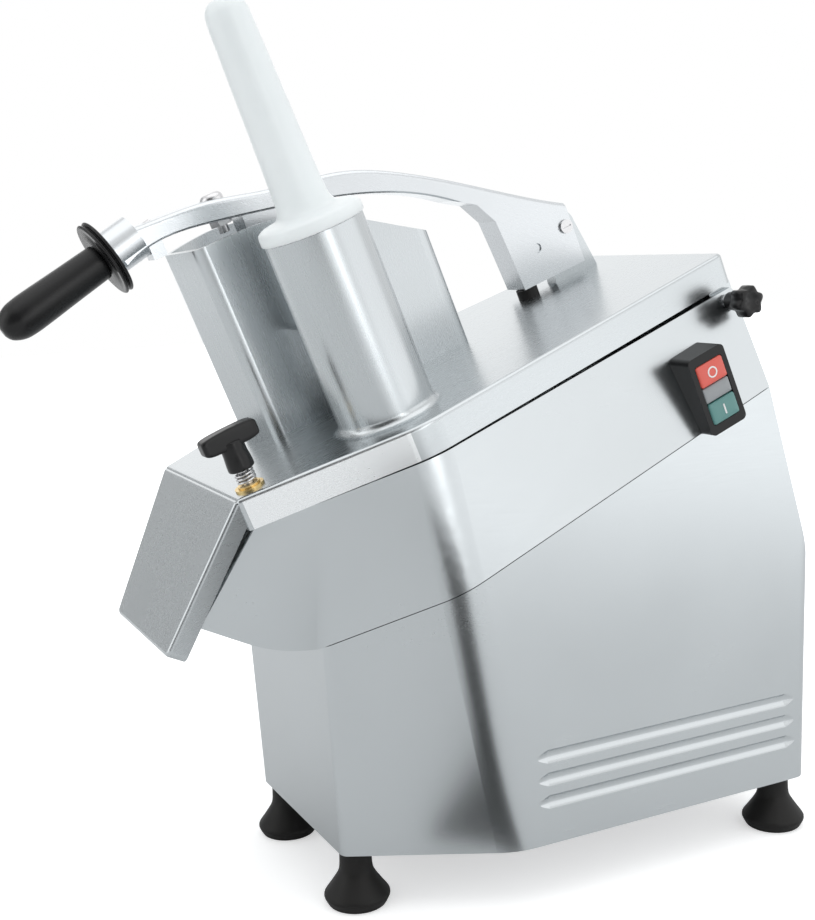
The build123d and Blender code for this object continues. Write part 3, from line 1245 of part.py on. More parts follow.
with BuildPart() as motor_body:
    add(column(motor_plane, MOTOR_RADIUS - 3, MOTOR_LOW, MOTOR_HIGH))
    with BuildSketch(motor_plane.offset(MOTOR_LOW)):
        with PolarLocations(MOTOR_RADIUS - 3, 20):
            Rectangle(6, 2.5)
    extrude(amount=MOTOR_HIGH - MOTOR_LOW)
    add(column(motor_plane, MOTOR_SHAFT + 0.4, MOTOR_HIGH - 30, MOTOR_HIGH + 5), mode=Mode.SUBTRACT)
finish(motor_body.part, "motor_body")

with BuildPart() as motor_end_lower:
    add(column(motor_plane, MOTOR_RADIUS, MOTOR_LOW - CAP_HIGH, MOTOR_LOW))
finish(motor_end_lower.part, "motor_end_lower")

with BuildPart() as motor_shaft:
    add(column(motor_plane, MOTOR_SHAFT, MOTOR_HIGH - 28, PULLEY_HIGH))
finish(motor_shaft.part, "motor_shaft")

# Electrics inside the base
with BuildPart() as run_capacitor:
    add(column(Plane((-30, 39 - low_half(-30), PLATE_BOTTOM + PLATE_THICK)), 18, 0, 78))
finish(run_capacitor.part, "run_capacitor")

with BuildPart() as terminal_block:
    with BuildSketch(Plane((-20, low_half(-20) - 34.2, PLATE_BOTTOM + PLATE_THICK))):
        RectangleRounded(60, 22, 2)
    extrude(amount=18)
finish(terminal_block.part, "terminal_block")

with BuildPart() as cable_gland:
    gland_plane = Plane(origin=(BACK_X - 10, GLAND_Y, GLAND_Z), z_dir=(1, 0, 0))
    add(column(gland_plane, GLAND_BODY, 0, 22))
    with BuildPart(mode=Mode.PRIVATE) as gland_nuts:
        with BuildSketch(gland_plane.offset(13.5)):
            RegularPolygon(12.5, 6)
        extrude(amount=6)
        with BuildSketch(gland_plane.offset(-6)):
            RegularPolygon(12.5, 6)
        extrude(amount=9)
    add(gland_nuts.part)
    add(column(gland_plane, 4, -20, 40), mode=Mode.SUBTRACT)
    add(base_housing.part, mode=Mode.SUBTRACT)
finish(cable_gland.part, "cable_gland")
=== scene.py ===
"""Looks of a bench vegetable cutting machine: cast aluminium body, hinged lid, lever press and round pusher."""

import logging
from dataclasses import dataclass, field
from enum import Enum

import bmesh
import bpy
import numpy as np
from mathutils import Matrix, Vector


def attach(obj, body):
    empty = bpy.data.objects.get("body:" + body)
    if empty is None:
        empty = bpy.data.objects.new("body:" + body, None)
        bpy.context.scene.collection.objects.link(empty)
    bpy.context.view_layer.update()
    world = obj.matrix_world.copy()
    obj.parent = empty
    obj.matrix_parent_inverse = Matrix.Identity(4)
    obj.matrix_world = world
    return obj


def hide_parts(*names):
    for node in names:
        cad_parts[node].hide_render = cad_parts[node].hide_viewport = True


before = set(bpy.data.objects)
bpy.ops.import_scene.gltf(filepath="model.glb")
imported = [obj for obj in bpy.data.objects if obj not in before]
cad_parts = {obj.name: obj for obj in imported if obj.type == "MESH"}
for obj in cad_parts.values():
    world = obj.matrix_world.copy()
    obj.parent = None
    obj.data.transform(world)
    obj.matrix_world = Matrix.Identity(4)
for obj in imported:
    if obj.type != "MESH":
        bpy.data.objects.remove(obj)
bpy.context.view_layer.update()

log = logging.getLogger("vegetable_cutter")
Array = np.ndarray
Colour = tuple[float, float, float]
Profile = tuple[tuple[float, ...], ...]

MM_PER_M = 1000
FAR = 10.0
"""A place beyond the machine, in metres, where a change of finish never comes."""


class Grain(Enum):
    """Directions that a metal's polishing lines may run in, as noise scales along X, Y and Z."""

    ALONG = (3.0, 60.0, 60.0)
    EVEN = (40.0, 40.0, 40.0)


@dataclass(frozen=True)
class TiltedFrame:
    """Directions of the tilted lid: along its fall, across it and out of its face, in metres."""

    tilt: float = 20.6
    origin: tuple[float, float, float] = (-0.1715, 0.0, 0.3135)

    def axes(self) -> Array:
        """Returns the along, across and outward directions as rows."""
        angle = np.radians(self.tilt)
        return np.array([[np.cos(angle), 0, np.sin(angle)], [0, 1, 0], [-np.sin(angle), 0, np.cos(angle)]])

    def height(self) -> float:
        """Returns the face's distance from the frame's origin, measured outwards."""
        return float(np.array(self.origin) @ self.axes()[2])

    def start(self) -> float:
        """Returns the bend's distance from the frame's origin, measured along the lid."""
        return float(np.array(self.origin) @ self.axes()[0])

    def place(self, along: float, side: float, up: float) -> Array:
        """Turns a point given in millimetres on the lid into metres in the frame.

        Args:
            along: distance from the bend towards the hinge.
            side: distance across, towards the hopper.
            up: height above the lid's face.

        Returns:
            The point in the shared frame.
        """
        return np.array(self.origin) + np.array([along, side, up]) @ self.axes() / MM_PER_M


LID = TiltedFrame()


def grid_object(name: str, grid: Array, close_around: bool) -> bpy.types.Object:
    """Makes a smooth mesh from a grid of points, rows along a profile and columns around it.

    Each cell of the grid becomes one four-sided face between neighbouring rows and columns.

    Args:
        name: the piece's name.
        grid: rows x columns x 3 points in metres.
        close_around: joins the last column to the first.

    Returns:
        The linked object.
    """
    rows, columns = grid.shape[:2]
    index = np.arange(rows * columns).reshape(rows, columns)
    after = np.roll(index, -1, axis=1) if close_around else index[:, 1:]
    before = index if close_around else index[:, :-1]
    faces = np.stack([before[:-1], after[:-1], after[1:], before[1:]], axis=-1).reshape(-1, 4)
    mesh = bpy.data.meshes.new(name)
    mesh.from_pydata(grid.reshape(-1, 3).tolist(), [], faces.tolist())
    mesh.update()
    welded(mesh)
    mesh.polygons.foreach_set("use_smooth", np.ones(len(mesh.polygons), bool))
    made = bpy.data.objects.new(name, mesh)
    bpy.context.scene.collection.objects.link(made)
    return made


def welded(mesh: bpy.types.Mesh) -> None:
    """Merges a mesh's doubled points, such as its poles, and turns its faces outwards.

    Args:
        mesh: the mesh to close.
    """
    work = bmesh.new()
    work.from_mesh(mesh)
    bmesh.ops.remove_doubles(work, verts=work.verts, dist=1e-6)
    bmesh.ops.recalc_face_normals(work, faces=work.faces)
    work.to_mesh(mesh)
    work.free()


def smooth_profile(points: Array, steps: int = 8) -> Array:
    """Runs a Catmull-Rom curve through profile points.

    Each span is the cubic that passes through its two ends with slopes from their neighbours.

    Args:
        points: n x 2 radii and heights.
        steps: samples for each span.

    Returns:
        The sampled radii and heights.
    """
    padded = np.vstack([2 * points[0] - points[1], points, 2 * points[-1] - points[-2]])
    p0, p1, p2, p3 = padded[:-3, None], padded[1:-2, None], padded[2:-1, None], padded[3:, None]
    t = np.linspace(0, 1, steps, endpoint=False)[None, :, None]
    squared, cubed = 2 * p0 - 5 * p1 + 4 * p2 - p3, 3 * p1 - p0 - 3 * p2 + p3
    curve = 0.5 * (2 * p1 + (p2 - p0) * t + squared * t**2 + cubed * t**3)
    curve = np.vstack([curve.reshape(-1, points.shape[1]), points[-1:]])
    curve[:, 0] = np.maximum(curve[:, 0], 0)
    return curve


def signed_power(value: Array, exponent: float) -> Array:
    """Raises the size of each number to a power and keeps its sign."""
    return np.sign(value) * np.abs(value) ** exponent


def turned(
    name: str, profile: Array, centre: Array, axis: Array, across: Array, count: int = 72
) -> bpy.types.Object:
    """Turns a profile about an axis.

    Each point is the centre, plus the height along the axis, plus the radius times the cosine and sine of the
    turn along two directions across the axis.

    Args:
        name: the piece's name.
        profile: n x 2 radii and heights in millimetres.
        centre: the axis point of height zero, in metres.
        axis: unit direction of the axis.
        across: a unit direction across the axis.
        count: points around.

    Returns:
        The finished object.
    """
    turn = np.linspace(0, 2 * np.pi, count, endpoint=False)
    other = np.cross(axis, across)
    around = np.cos(turn)[:, None] * across + np.sin(turn)[:, None] * other
    radii, heights = profile[:, 0] / MM_PER_M, profile[:, 1] / MM_PER_M
    grid = centre + heights[:, None, None] * axis + radii[:, None, None] * around[None]
    return grid_object(name, grid, close_around=True)


def rounded_loop(wide: float, high: float, corner: float, count: int = 12) -> Array:
    """Points around a rounded rectangle.

    Each corner is a quarter circle of its radius about a centre set in from both sides.

    Args:
        wide: full width.
        high: full height.
        corner: corner radius.
        count: points in each corner.

    Returns:
        n x 2 points, running around once.
    """
    turn = np.linspace(0, np.pi / 2, count)
    quarter = np.arange(4)[:, None] * np.pi / 2
    sign_x, sign_y = np.array([1, -1, -1, 1])[:, None], np.array([1, 1, -1, -1])[:, None]
    x = sign_x * (wide / 2 - corner) + corner * np.cos(turn + quarter)
    y = sign_y * (high / 2 - corner) + corner * np.sin(turn + quarter)
    return np.column_stack([x.ravel(), y.ravel()])


def cushion(
    name: str, size: tuple[float, float, float], profile: Array, centre: Array, axes: Array
) -> bpy.types.Object:
    """Makes a rounded block whose outline shrinks along a profile.

    Each profile point gives how far the rounded rectangle is set in and how high it lies; the last ring closes to
    its middle.

    Args:
        name: the piece's name.
        size: width, height and corner radius in millimetres.
        profile: n x 2 insets and heights in millimetres.
        centre: the middle of the outline, in metres.
        axes: rows along the width, the height and outwards.

    Returns:
        The finished object.
    """
    wide, high, corner = size
    sharpest = 0.2
    loops = [rounded_loop(wide - 2 * inset, high - 2 * inset, max(corner - inset, sharpest)) for inset, _ in profile]
    rings = [np.column_stack([loop, np.full(len(loop), level)]) for loop, (_, level) in zip(loops, profile)]
    start, end = rings[0] * [0, 0, 1], rings[-1] * [0, 0, 1]
    flat = np.stack([start, *rings, end])
    return grid_object(name, centre + flat @ axes / MM_PER_M, close_around=True)


def coil(
    name: str, radius: float, wire: float, span: tuple[float, float], turns: float, centre: Array, axes: Array
) -> bpy.types.Object:
    """Makes a round wire wound on a screw line.

    The wire's middle is the radius times the cosine and sine of the turn, rising evenly; its section is a circle
    in the directions outwards and along the axis.

    Args:
        name: the piece's name.
        radius: radius of the wire's middle in millimetres.
        wire: radius of the wire.
        span: lowest and highest heights of the middle.
        turns: number of turns.
        centre: the axis point of height zero, in metres.
        axes: rows across, across and along the axis.

    Returns:
        The finished object.
    """
    steps, sides = 36, 12
    turn = np.linspace(0, 2 * np.pi * turns, int(steps * turns))
    outward = np.column_stack([np.cos(turn), np.sin(turn), np.zeros_like(turn)])
    upward = np.array([0, 0, 1])
    middle = radius * outward + upward * np.linspace(*span, len(turn))[:, None]
    around = np.linspace(0, 2 * np.pi, sides, endpoint=False)
    section = np.cos(around)[None, :, None] * outward[:, None] + np.sin(around)[None, :, None] * upward
    grid = middle[:, None] + wire * section
    grid = np.concatenate([np.repeat(middle[:1, None], sides, 1), grid, np.repeat(middle[-1:, None], sides, 1)])
    return grid_object(name, centre + grid @ axes / MM_PER_M, close_around=True)


class NodeWriter:
    """Small helper that adds and links the nodes of one tree."""

    def __init__(self, tree: bpy.types.NodeTree) -> None:
        """Keeps the tree to write in.

        Args:
            tree: a material's or group's node tree.
        """
        self.tree = tree

    def add(self, kind: str, **values: object) -> bpy.types.Node:
        """Adds a node and sets its properties or input values.

        Args:
            kind: Blender's node type.
            values: property or input names, with underscores for spaces, and their values.

        Returns:
            The new node.
        """
        node = self.tree.nodes.new(kind)
        for key, value in values.items():
            if hasattr(node, key) and key not in node.inputs:
                setattr(node, key, value)
            else:
                node.inputs[key.replace("_", " ")].default_value = value
        return node

    def link(self, out: bpy.types.NodeSocket, into: bpy.types.NodeSocket) -> None:
        """Links one socket to another."""
        self.tree.links.new(out, into)

    def maths(self, operation: str, first: object, second: object) -> bpy.types.NodeSocket:
        """Adds a maths node.

        Args:
            operation: its operation.
            first: a socket or a number.
            second: a socket or a number.

        Returns:
            The output socket.
        """
        node = self.tree.nodes.new("ShaderNodeMath")
        node.operation = operation
        for place, value in enumerate((first, second)):
            if isinstance(value, bpy.types.NodeSocket):
                self.link(value, node.inputs[place])
            else:
                node.inputs[place].default_value = value
        return node.outputs[0]


def new_group(
    name: str, inputs: dict[str, float], outputs: tuple[str, ...]
) -> tuple[bpy.types.NodeTree, NodeWriter]:
    """Starts a node group with number inputs and number outputs.

    Args:
        name: the group's name.
        inputs: input names and their usual values.
        outputs: output names.

    Returns:
        The group and a writer for its nodes.
    """
    group = bpy.data.node_groups.new(name, "ShaderNodeTree")
    for title, value in inputs.items():
        socket = group.interface.new_socket(title, in_out="INPUT", socket_type="NodeSocketFloat")
        socket.default_value = value
    for title in outputs:
        group.interface.new_socket(title, in_out="OUTPUT", socket_type="NodeSocketFloat")
    return group, NodeWriter(group)


def lines_and_highlight_group() -> bpy.types.NodeTree:
    """Makes the group for polishing lines: fine streaks and soft cloudy patches, and the mask of a painted highlight
    band.

    The surface's place is turned by Tilt about the Y axis. Above Change, measured outwards, the streaks run
    upright, and below it they follow the scales. Highlight is the mask of a painted highlight band: what lies a
    margin below Change, from Start to Stop.

    Returns:
        A group with Lines, Cloud and Highlight outputs; Highlight is the painted highlight mask.
    """
    upright_scales, highlight_margin = (60.0, 60.0, 2.5), 0.0022
    inputs = {"Along": 3.0, "Across": 60.0, "Upright": 60.0, "Patch": 9.0, "Tilt": 0.0}
    inputs.update({"Change": FAR, "Start": FAR, "Stop": FAR})
    group, write = new_group("polishing_lines_and_highlight", inputs, ("Lines", "Cloud", "Highlight"))
    into, out = write.add("NodeGroupInput"), write.add("NodeGroupOutput")
    place = write.add("ShaderNodeTexCoord")
    turned_place = write.add("ShaderNodeVectorRotate", rotation_type="Y_AXIS")
    write.link(place.outputs["Object"], turned_place.inputs["Vector"])
    write.link(into.outputs["Tilt"], turned_place.inputs["Angle"])
    scale = write.add("ShaderNodeCombineXYZ")
    for axis, title in zip("XYZ", ("Along", "Across", "Upright")):
        write.link(into.outputs[title], scale.inputs[axis])
    streaks = []
    for scales in (scale.outputs[0], upright_scales):
        stretched = write.add("ShaderNodeVectorMath", operation="MULTIPLY")
        write.link(turned_place.outputs[0], stretched.inputs[0])
        if isinstance(scales, tuple):
            stretched.inputs[1].default_value = scales
        else:
            write.link(scales, stretched.inputs[1])
        fine = write.add("ShaderNodeTexNoise", Scale=12.0, Detail=4.0, Roughness=0.6)
        write.link(stretched.outputs[0], fine.inputs["Vector"])
        streaks.append(fine.outputs["Fac"])
    level = write.add("ShaderNodeSeparateXYZ")
    write.link(turned_place.outputs[0], level.inputs[0])
    above = write.maths("GREATER_THAN", level.outputs["Z"], into.outputs["Change"])
    # Painted highlight mask: below Change less the margin, and between Start and Stop.
    brim = write.maths("SUBTRACT", into.outputs["Change"], highlight_margin)
    below = write.maths("LESS_THAN", level.outputs["Z"], brim)
    past = write.maths("GREATER_THAN", level.outputs["X"], into.outputs["Start"])
    before = write.maths("LESS_THAN", level.outputs["X"], into.outputs["Stop"])
    between = write.maths("MULTIPLY", past, before)
    write.link(write.maths("MULTIPLY", below, between), out.inputs["Highlight"])
    lines = write.add("ShaderNodeMix")
    write.link(above, lines.inputs["Factor"])
    write.link(streaks[0], lines.inputs["A"])
    write.link(streaks[1], lines.inputs["B"])
    cloud = write.add("ShaderNodeTexNoise", Detail=3.0, Roughness=0.55)
    write.link(place.outputs["Object"], cloud.inputs["Vector"])
    write.link(into.outputs["Patch"], cloud.inputs["Scale"])
    write.link(lines.outputs["Result"], out.inputs["Lines"])
    write.link(cloud.outputs["Fac"], out.inputs["Cloud"])
    return group


def moulded_group() -> bpy.types.NodeTree:
    """Makes the group for moulded surfaces: a spark-eroded grain and faint smudges.

    Returns:
        A group with Grain and Smudge inputs and Height and Mask outputs.
    """
    group, write = new_group("moulded_grain", {"Grain": 900.0, "Smudge": 18.0}, ("Height", "Mask"))
    into, out = write.add("NodeGroupInput"), write.add("NodeGroupOutput")
    place = write.add("ShaderNodeTexCoord")
    grain = write.add("ShaderNodeTexNoise", Detail=2.0, Roughness=0.5)
    smudge = write.add("ShaderNodeTexNoise", Detail=4.0, Roughness=0.6)
    for node, title in ((grain, "Grain"), (smudge, "Smudge")):
        write.link(place.outputs["Object"], node.inputs["Vector"])
        write.link(into.outputs[title], node.inputs["Scale"])
    write.link(grain.outputs["Fac"], out.inputs["Height"])
    write.link(smudge.outputs["Fac"], out.inputs["Mask"])
    return group


@dataclass(frozen=True)
class MetalFinish:
    """A metal finished by polishing, grinding or blasting, with an optional painted highlight band in a lighter
    colour.
    """

    name: str
    colour: Colour
    roughness: float
    spread: float = 0.1
    shade: float = 0.05
    bump: float = 0.15
    grain: Grain = Grain.EVEN
    patch: float = 9.0
    metallic: float = 1.0
    tilt: float = 0.0
    change: float = FAR
    start: float = FAR
    stop: float = FAR
    # Colour of the painted highlight band, mixed in where the Highlight mask is set.
    edge: Colour = (0.9, 0.92, 0.93)

    def build(self, polishing: bpy.types.NodeTree) -> bpy.types.Material:
        """Makes the material.

        Args:
            polishing: the group of polishing lines and the painted highlight mask.

        Returns:
            The material.
        """
        material = bpy.data.materials.new(self.name)
        material.use_nodes = True
        write = NodeWriter(material.node_tree)
        shader = material.node_tree.nodes["Principled BSDF"]
        shader.inputs["Metallic"].default_value = self.metallic
        lines = write.add("ShaderNodeGroup")
        lines.node_tree = polishing
        along, across, upright = self.grain.value
        for title, value in (
            ("Along", along),
            ("Across", across),
            ("Upright", upright),
            ("Patch", self.patch),
            ("Tilt", float(np.radians(self.tilt))),
            ("Change", self.change),
            ("Start", self.start),
            ("Stop", self.stop),
        ):
            lines.inputs[title].default_value = value
        rough = write.add("ShaderNodeMapRange", From_Min=0.3, From_Max=0.7)
        rough.inputs["To Min"].default_value = self.roughness - self.spread
        rough.inputs["To Max"].default_value = self.roughness + self.spread
        both = write.maths("ADD", lines.outputs["Lines"], lines.outputs["Cloud"])
        write.link(write.maths("MULTIPLY", both, 0.5), rough.inputs["Value"])
        write.link(rough.outputs[0], shader.inputs["Roughness"])
        shades = write.add("ShaderNodeMix", data_type="RGBA")
        dark = tuple(c * (1 - 2 * self.shade) for c in self.colour)
        light = tuple(min(c * (1 + self.shade), 1.0) for c in self.colour)
        shades.inputs["A"].default_value = (*dark, 1)
        shades.inputs["B"].default_value = (*light, 1)
        write.link(lines.outputs["Cloud"], shades.inputs["Factor"])
        # Painted highlight: the edge colour takes the place of the base colour where the Highlight mask is set.
        painted_highlight = write.add("ShaderNodeMix", data_type="RGBA")
        write.link(lines.outputs["Highlight"], painted_highlight.inputs["Factor"])
        write.link(shades.outputs["Result"], painted_highlight.inputs["A"])
        painted_highlight.inputs["B"].default_value = (*self.edge, 1)
        write.link(painted_highlight.outputs["Result"], shader.inputs["Base Color"])
        bump = write.add("ShaderNodeBump", Strength=self.bump, Distance=0.0002)
        write.link(lines.outputs["Lines"], bump.inputs["Height"])
        write.link(bump.outputs[0], shader.inputs["Normal"])
        return material


@dataclass(frozen=True)
class MouldedFinish:
    """A moulded plastic, nylon or rubber."""

    name: str
    colour: Colour
    roughness: float
    spread: float = 0.08
    bump: float = 0.1
    shade: float = 0.06
    grain: float = 900.0
    coat: float = 0.0
    scatter: float = 0.0
    shine: float = 0.5

    def build(self, moulded: bpy.types.NodeTree) -> bpy.types.Material:
        """Makes the material.

        Args:
            moulded: the moulded grain group.

        Returns:
            The material.
        """
        material = bpy.data.materials.new(self.name)
        material.use_nodes = True
        write = NodeWriter(material.node_tree)
        shader = material.node_tree.nodes["Principled BSDF"]
        shader.inputs["Specular IOR Level"].default_value = self.shine
        shader.inputs["Coat Weight"].default_value = self.coat
        shader.inputs["Coat Roughness"].default_value = 0.12
        if self.scatter > 0:
            shader.inputs["Subsurface Weight"].default_value = self.scatter
            shader.inputs["Subsurface Scale"].default_value = 0.006
            shader.inputs["Subsurface Radius"].default_value = (1.0, 1.0, 1.0)
        skin = write.add("ShaderNodeGroup")
        skin.node_tree = moulded
        skin.inputs["Grain"].default_value = self.grain
        rough = write.add("ShaderNodeMapRange")
        rough.inputs["To Min"].default_value = max(self.roughness - self.spread, 0.02)
        rough.inputs["To Max"].default_value = min(self.roughness + self.spread, 1.0)
        write.link(skin.outputs["Mask"], rough.inputs["Value"])
        write.link(rough.outputs[0], shader.inputs["Roughness"])
        shades = write.add("ShaderNodeMix", data_type="RGBA")
        shades.inputs["A"].default_value = (*(c * (1 - self.shade) for c in self.colour), 1)
        shades.inputs["B"].default_value = (*(min(c * (1 + self.shade), 1) for c in self.colour), 1)
        write.link(skin.outputs["Mask"], shades.inputs["Factor"])
        write.link(shades.outputs["Result"], shader.inputs["Base Color"])
        bump = write.add("ShaderNodeBump", Strength=self.bump, Distance=0.0001)
        write.link(skin.outputs["Height"], bump.inputs["Height"])
        write.link(bump.outputs[0], shader.inputs["Normal"])
        return material


@dataclass
class Paintbox:
    """Every finish of the machine, made once."""

    metals: tuple[MetalFinish, ...] = (
        MetalFinish(
            "satin_side_casting", (0.56, 0.59, 0.605), 0.25, 0.03, 0.03, bump=0.012, grain=Grain.ALONG
        ),
        MetalFinish(
            "satin_lid_casting", (0.54, 0.57, 0.585), 0.27, 0.03, 0.025, bump=0.01, grain=Grain.ALONG,
            # Change, start and stop also place the lid's painted highlight band: below its face, over the front part
            # past the bend.
            tilt=LID.tilt, change=LID.height() + 0.0005, start=LID.start() + 0.003, stop=LID.start() + 0.118,
        ),
        MetalFinish(
            "satin_arm_casting", (0.64, 0.665, 0.685), 0.27, 0.04, 0.03, bump=0.012, grain=Grain.ALONG,
            tilt=-LID.tilt,
        ),
        MetalFinish("turned_steel", (0.66, 0.66, 0.67), 0.28),
        MetalFinish("ground_blade_steel", (0.74, 0.75, 0.77), 0.22, bump=0.08),
        MetalFinish("brass", (0.78, 0.58, 0.26), 0.28, bump=0.06),
        MetalFinish("grey_painted_sheet", (0.42, 0.43, 0.45), 0.5, metallic=0.3),
        MetalFinish("motor_enamel", (0.16, 0.18, 0.21), 0.45, metallic=0.0),
    )
    mouldings: tuple[MouldedFinish, ...] = (
        MouldedFinish("white_nylon", (0.86, 0.9, 0.905), 0.34, scatter=0.5, bump=0.04),
        MouldedFinish("black_plastic", (0.009, 0.009, 0.0095), 0.3, bump=0.12, shine=0.3),
        MouldedFinish("black_rubber", (0.012, 0.0115, 0.011), 0.5, bump=0.3, grain=700.0, shine=0.25),
        MouldedFinish("red_button", (0.72, 0.1, 0.07), 0.3, coat=0.4),
        MouldedFinish("green_button", (0.085, 0.24, 0.225), 0.3, coat=0.4),
        MouldedFinish("white_mark", (0.86, 0.86, 0.85), 0.4),
        MouldedFinish("grey_lens", (0.27, 0.285, 0.295), 0.25, coat=0.5),
        MouldedFinish("grey_plastic", (0.25, 0.26, 0.27), 0.45),
    )
    made: dict[str, bpy.types.Material] = field(default_factory=dict)

    def mix(self) -> None:
        """Builds every finish with its shared groups."""
        polishing, moulded = lines_and_highlight_group(), moulded_group()
        self.made = {finish.name: finish.build(polishing) for finish in self.metals}
        self.made.update({finish.name: finish.build(moulded) for finish in self.mouldings})

    def dress(self, name: str, *pieces: bpy.types.Object) -> None:
        """Puts one finish on pieces.

        Args:
            name: the finish.
            pieces: the objects that take it.
        """
        for piece in pieces:
            piece.data.materials.clear()
            piece.data.materials.append(self.made[name])

    def dress_nodes(self, name: str, *nodes: str) -> None:
        """Puts one finish on carried-over nodes.

        Args:
            name: the finish.
            nodes: the nodes' names.
        """
        self.dress(name, *(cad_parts[node] for node in nodes))


@dataclass
class Castings:
    """Body, chamber and lid castings."""

    paints: Paintbox

    def build(self) -> list[str]:
        """Dresses the castings and returns their names."""
        self.paints.dress_nodes("satin_side_casting", "base_housing", "chamber_casting")
        self.paints.dress_nodes("satin_lid_casting", "lid_casting")
        self.paints.dress_nodes("satin_arm_casting", "lever_arm", "pressure_block", "stop_magnet")
        self.paints.dress_nodes("grey_painted_sheet", "bottom_plate")
        return ["base_housing", "chamber_casting", "lid_casting", "lever_arm", "pressure_block", "bottom_plate"]


@dataclass
class RoundPusher:
    """White pusher: a plug in the tube, a domed cap and a tapering stick."""

    paints: Paintbox
    along: float = 130.0
    side: float = -71.0
    plug: Profile = ((0, -17), (25.6, -17), (26.4, -15.6), (26.4, 141.3), (36.8, 141.3), (37.5, 142.2), (37.5, 147))
    crown: Profile = (
        (37.5, 147), (36.6, 149.8), (33, 151.8), (28, 152.8), (22.5, 154.4), (19.6, 159), (18.4, 168),
        (17.6, 190), (16.6, 230), (15.6, 270), (15.0, 288), (13.2, 295.5), (8.5, 300.0), (0, 301.0),
    )

    def build(self) -> list[str]:
        """Turns the pusher and returns its name."""
        profile = np.vstack([self.plug, smooth_profile(np.array(self.crown))[1:]])
        axes, foot = LID.axes(), LID.place(self.along, self.side, 0)
        piece = turned("pusher_turned", profile, foot, axes[2], axes[0])
        self.paints.dress("white_nylon", piece)
        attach(piece, "round_pusher")
        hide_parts("round_pusher")
        return [piece.name]


@dataclass
class Handle:
    """Black grip and guard at the lever's end, with its rod."""

    paints: Paintbox
    origin: tuple[float, float, float] = (-0.211, 0.054, 0.479)
    tilt: float = 32.3
    guard_radius: float = 29.5
    guard_thick: float = 7.0
    guard_seat: Profile = ((12.5, 5.6), (12.5, 6.9), (0, 6.95))
    grip_radius: float = 15.0
    grip_length: float = 88.0

    def build(self) -> list[str]:
        """Dresses the handle and returns its names."""
        tilt = np.radians(self.tilt)
        axis = np.array([-np.cos(tilt), 0, -np.sin(tilt)])
        across = np.array([np.sin(tilt), 0, -np.cos(tilt)])
        start = np.array(self.origin)
        low, radius, length = self.guard_thick + 0.3, self.grip_radius, self.grip_length
        side = smooth_profile(
            np.array([
                [radius - 2.6, low], [radius - 1.7, low + 1.2], [radius - 1.4, low + 6], [radius - 0.9, low + 30],
                [radius - 0.2, low + 55], [radius - 0.15, low + 68], [radius - 1.3, low + 77],
                [radius - 5.2, low + 84.5], [radius - 10, low + 87.6], [0, low + length],
            ])
        )
        grip = turned("grip_turned", np.vstack([[[0, low]], side]), start, axis, across)
        rim = self.guard_radius
        edge = smooth_profile(
            np.array([
                [rim - 3.5, 0.2], [rim - 1.2, 0.3], [rim - 0.1, 1.4], [rim - 0.9, 2.6], [rim - 2.2, 3.4],
                [rim - 0.9, 4.4], [rim - 0.1, 5.6], [rim - 1.2, 6.7], [rim - 3.5, 6.8],
            ])
        )
        disc = np.vstack([[[0, 0.05]], edge, self.guard_seat])
        guard = turned("guard_turned", disc, start, axis, across)
        self.paints.dress("black_plastic", grip, guard)
        for piece, node in ((grip, "hand_grip"), (guard, "guard_disc")):
            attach(piece, "arm")
            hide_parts(node)
        self.paints.dress_nodes("turned_steel", "arm_rod", "pivot_bolt", "adjusting_bolt", "adjusting_nut")
        return [grip.name, guard.name, "arm_rod"]


@dataclass
class Feet:
    """Four black rubber feet and the buffer under the lever."""

    paints: Paintbox
    front: tuple[float, float] = (-92.0, 72.04)
    back: tuple[float, float] = (257.0, 118.0)
    recess: Profile = ((4.05, 12.0), (7.5, 12.0), (8.5, 0.1))
    bore: Profile = ((4.05, 42.9), (4.05, 12.0))
    flare: Profile = (
        (20.3, 0.1), (21.6, 0.9), (24.1, 5.4), (24.45, 7.4), (23.7, 9.4), (19.6, 15.0), (15.2, 21.4),
        (13.0, 25.6), (12.2, 30.0), (11.95, 36.0), (11.9, 42.9),
    )

    def build(self) -> list[str]:
        """Turns and dresses the feet and returns their names."""
        ring = np.vstack([self.recess, smooth_profile(np.array(self.flare)), self.bore])
        names = []
        for (x, y), title in ((self.front, "front"), (self.back, "back")):
            for side, hand in ((-1, "near"), (1, "far")):
                centre = np.array([x, side * y, 0]) / MM_PER_M
                foot = turned(f"{title}_{hand}_foot", ring, centre, np.array([0, 0, 1.0]), np.array([1.0, 0, 0]))
                self.paints.dress("black_rubber", foot)
                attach(foot, "base")
                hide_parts(f"foot_{title}_{hand}")
                names.append(foot.name)
        self.paints.dress_nodes("black_rubber", "rubber_buffer", "shaft_seal", "drive_belt")
        return names


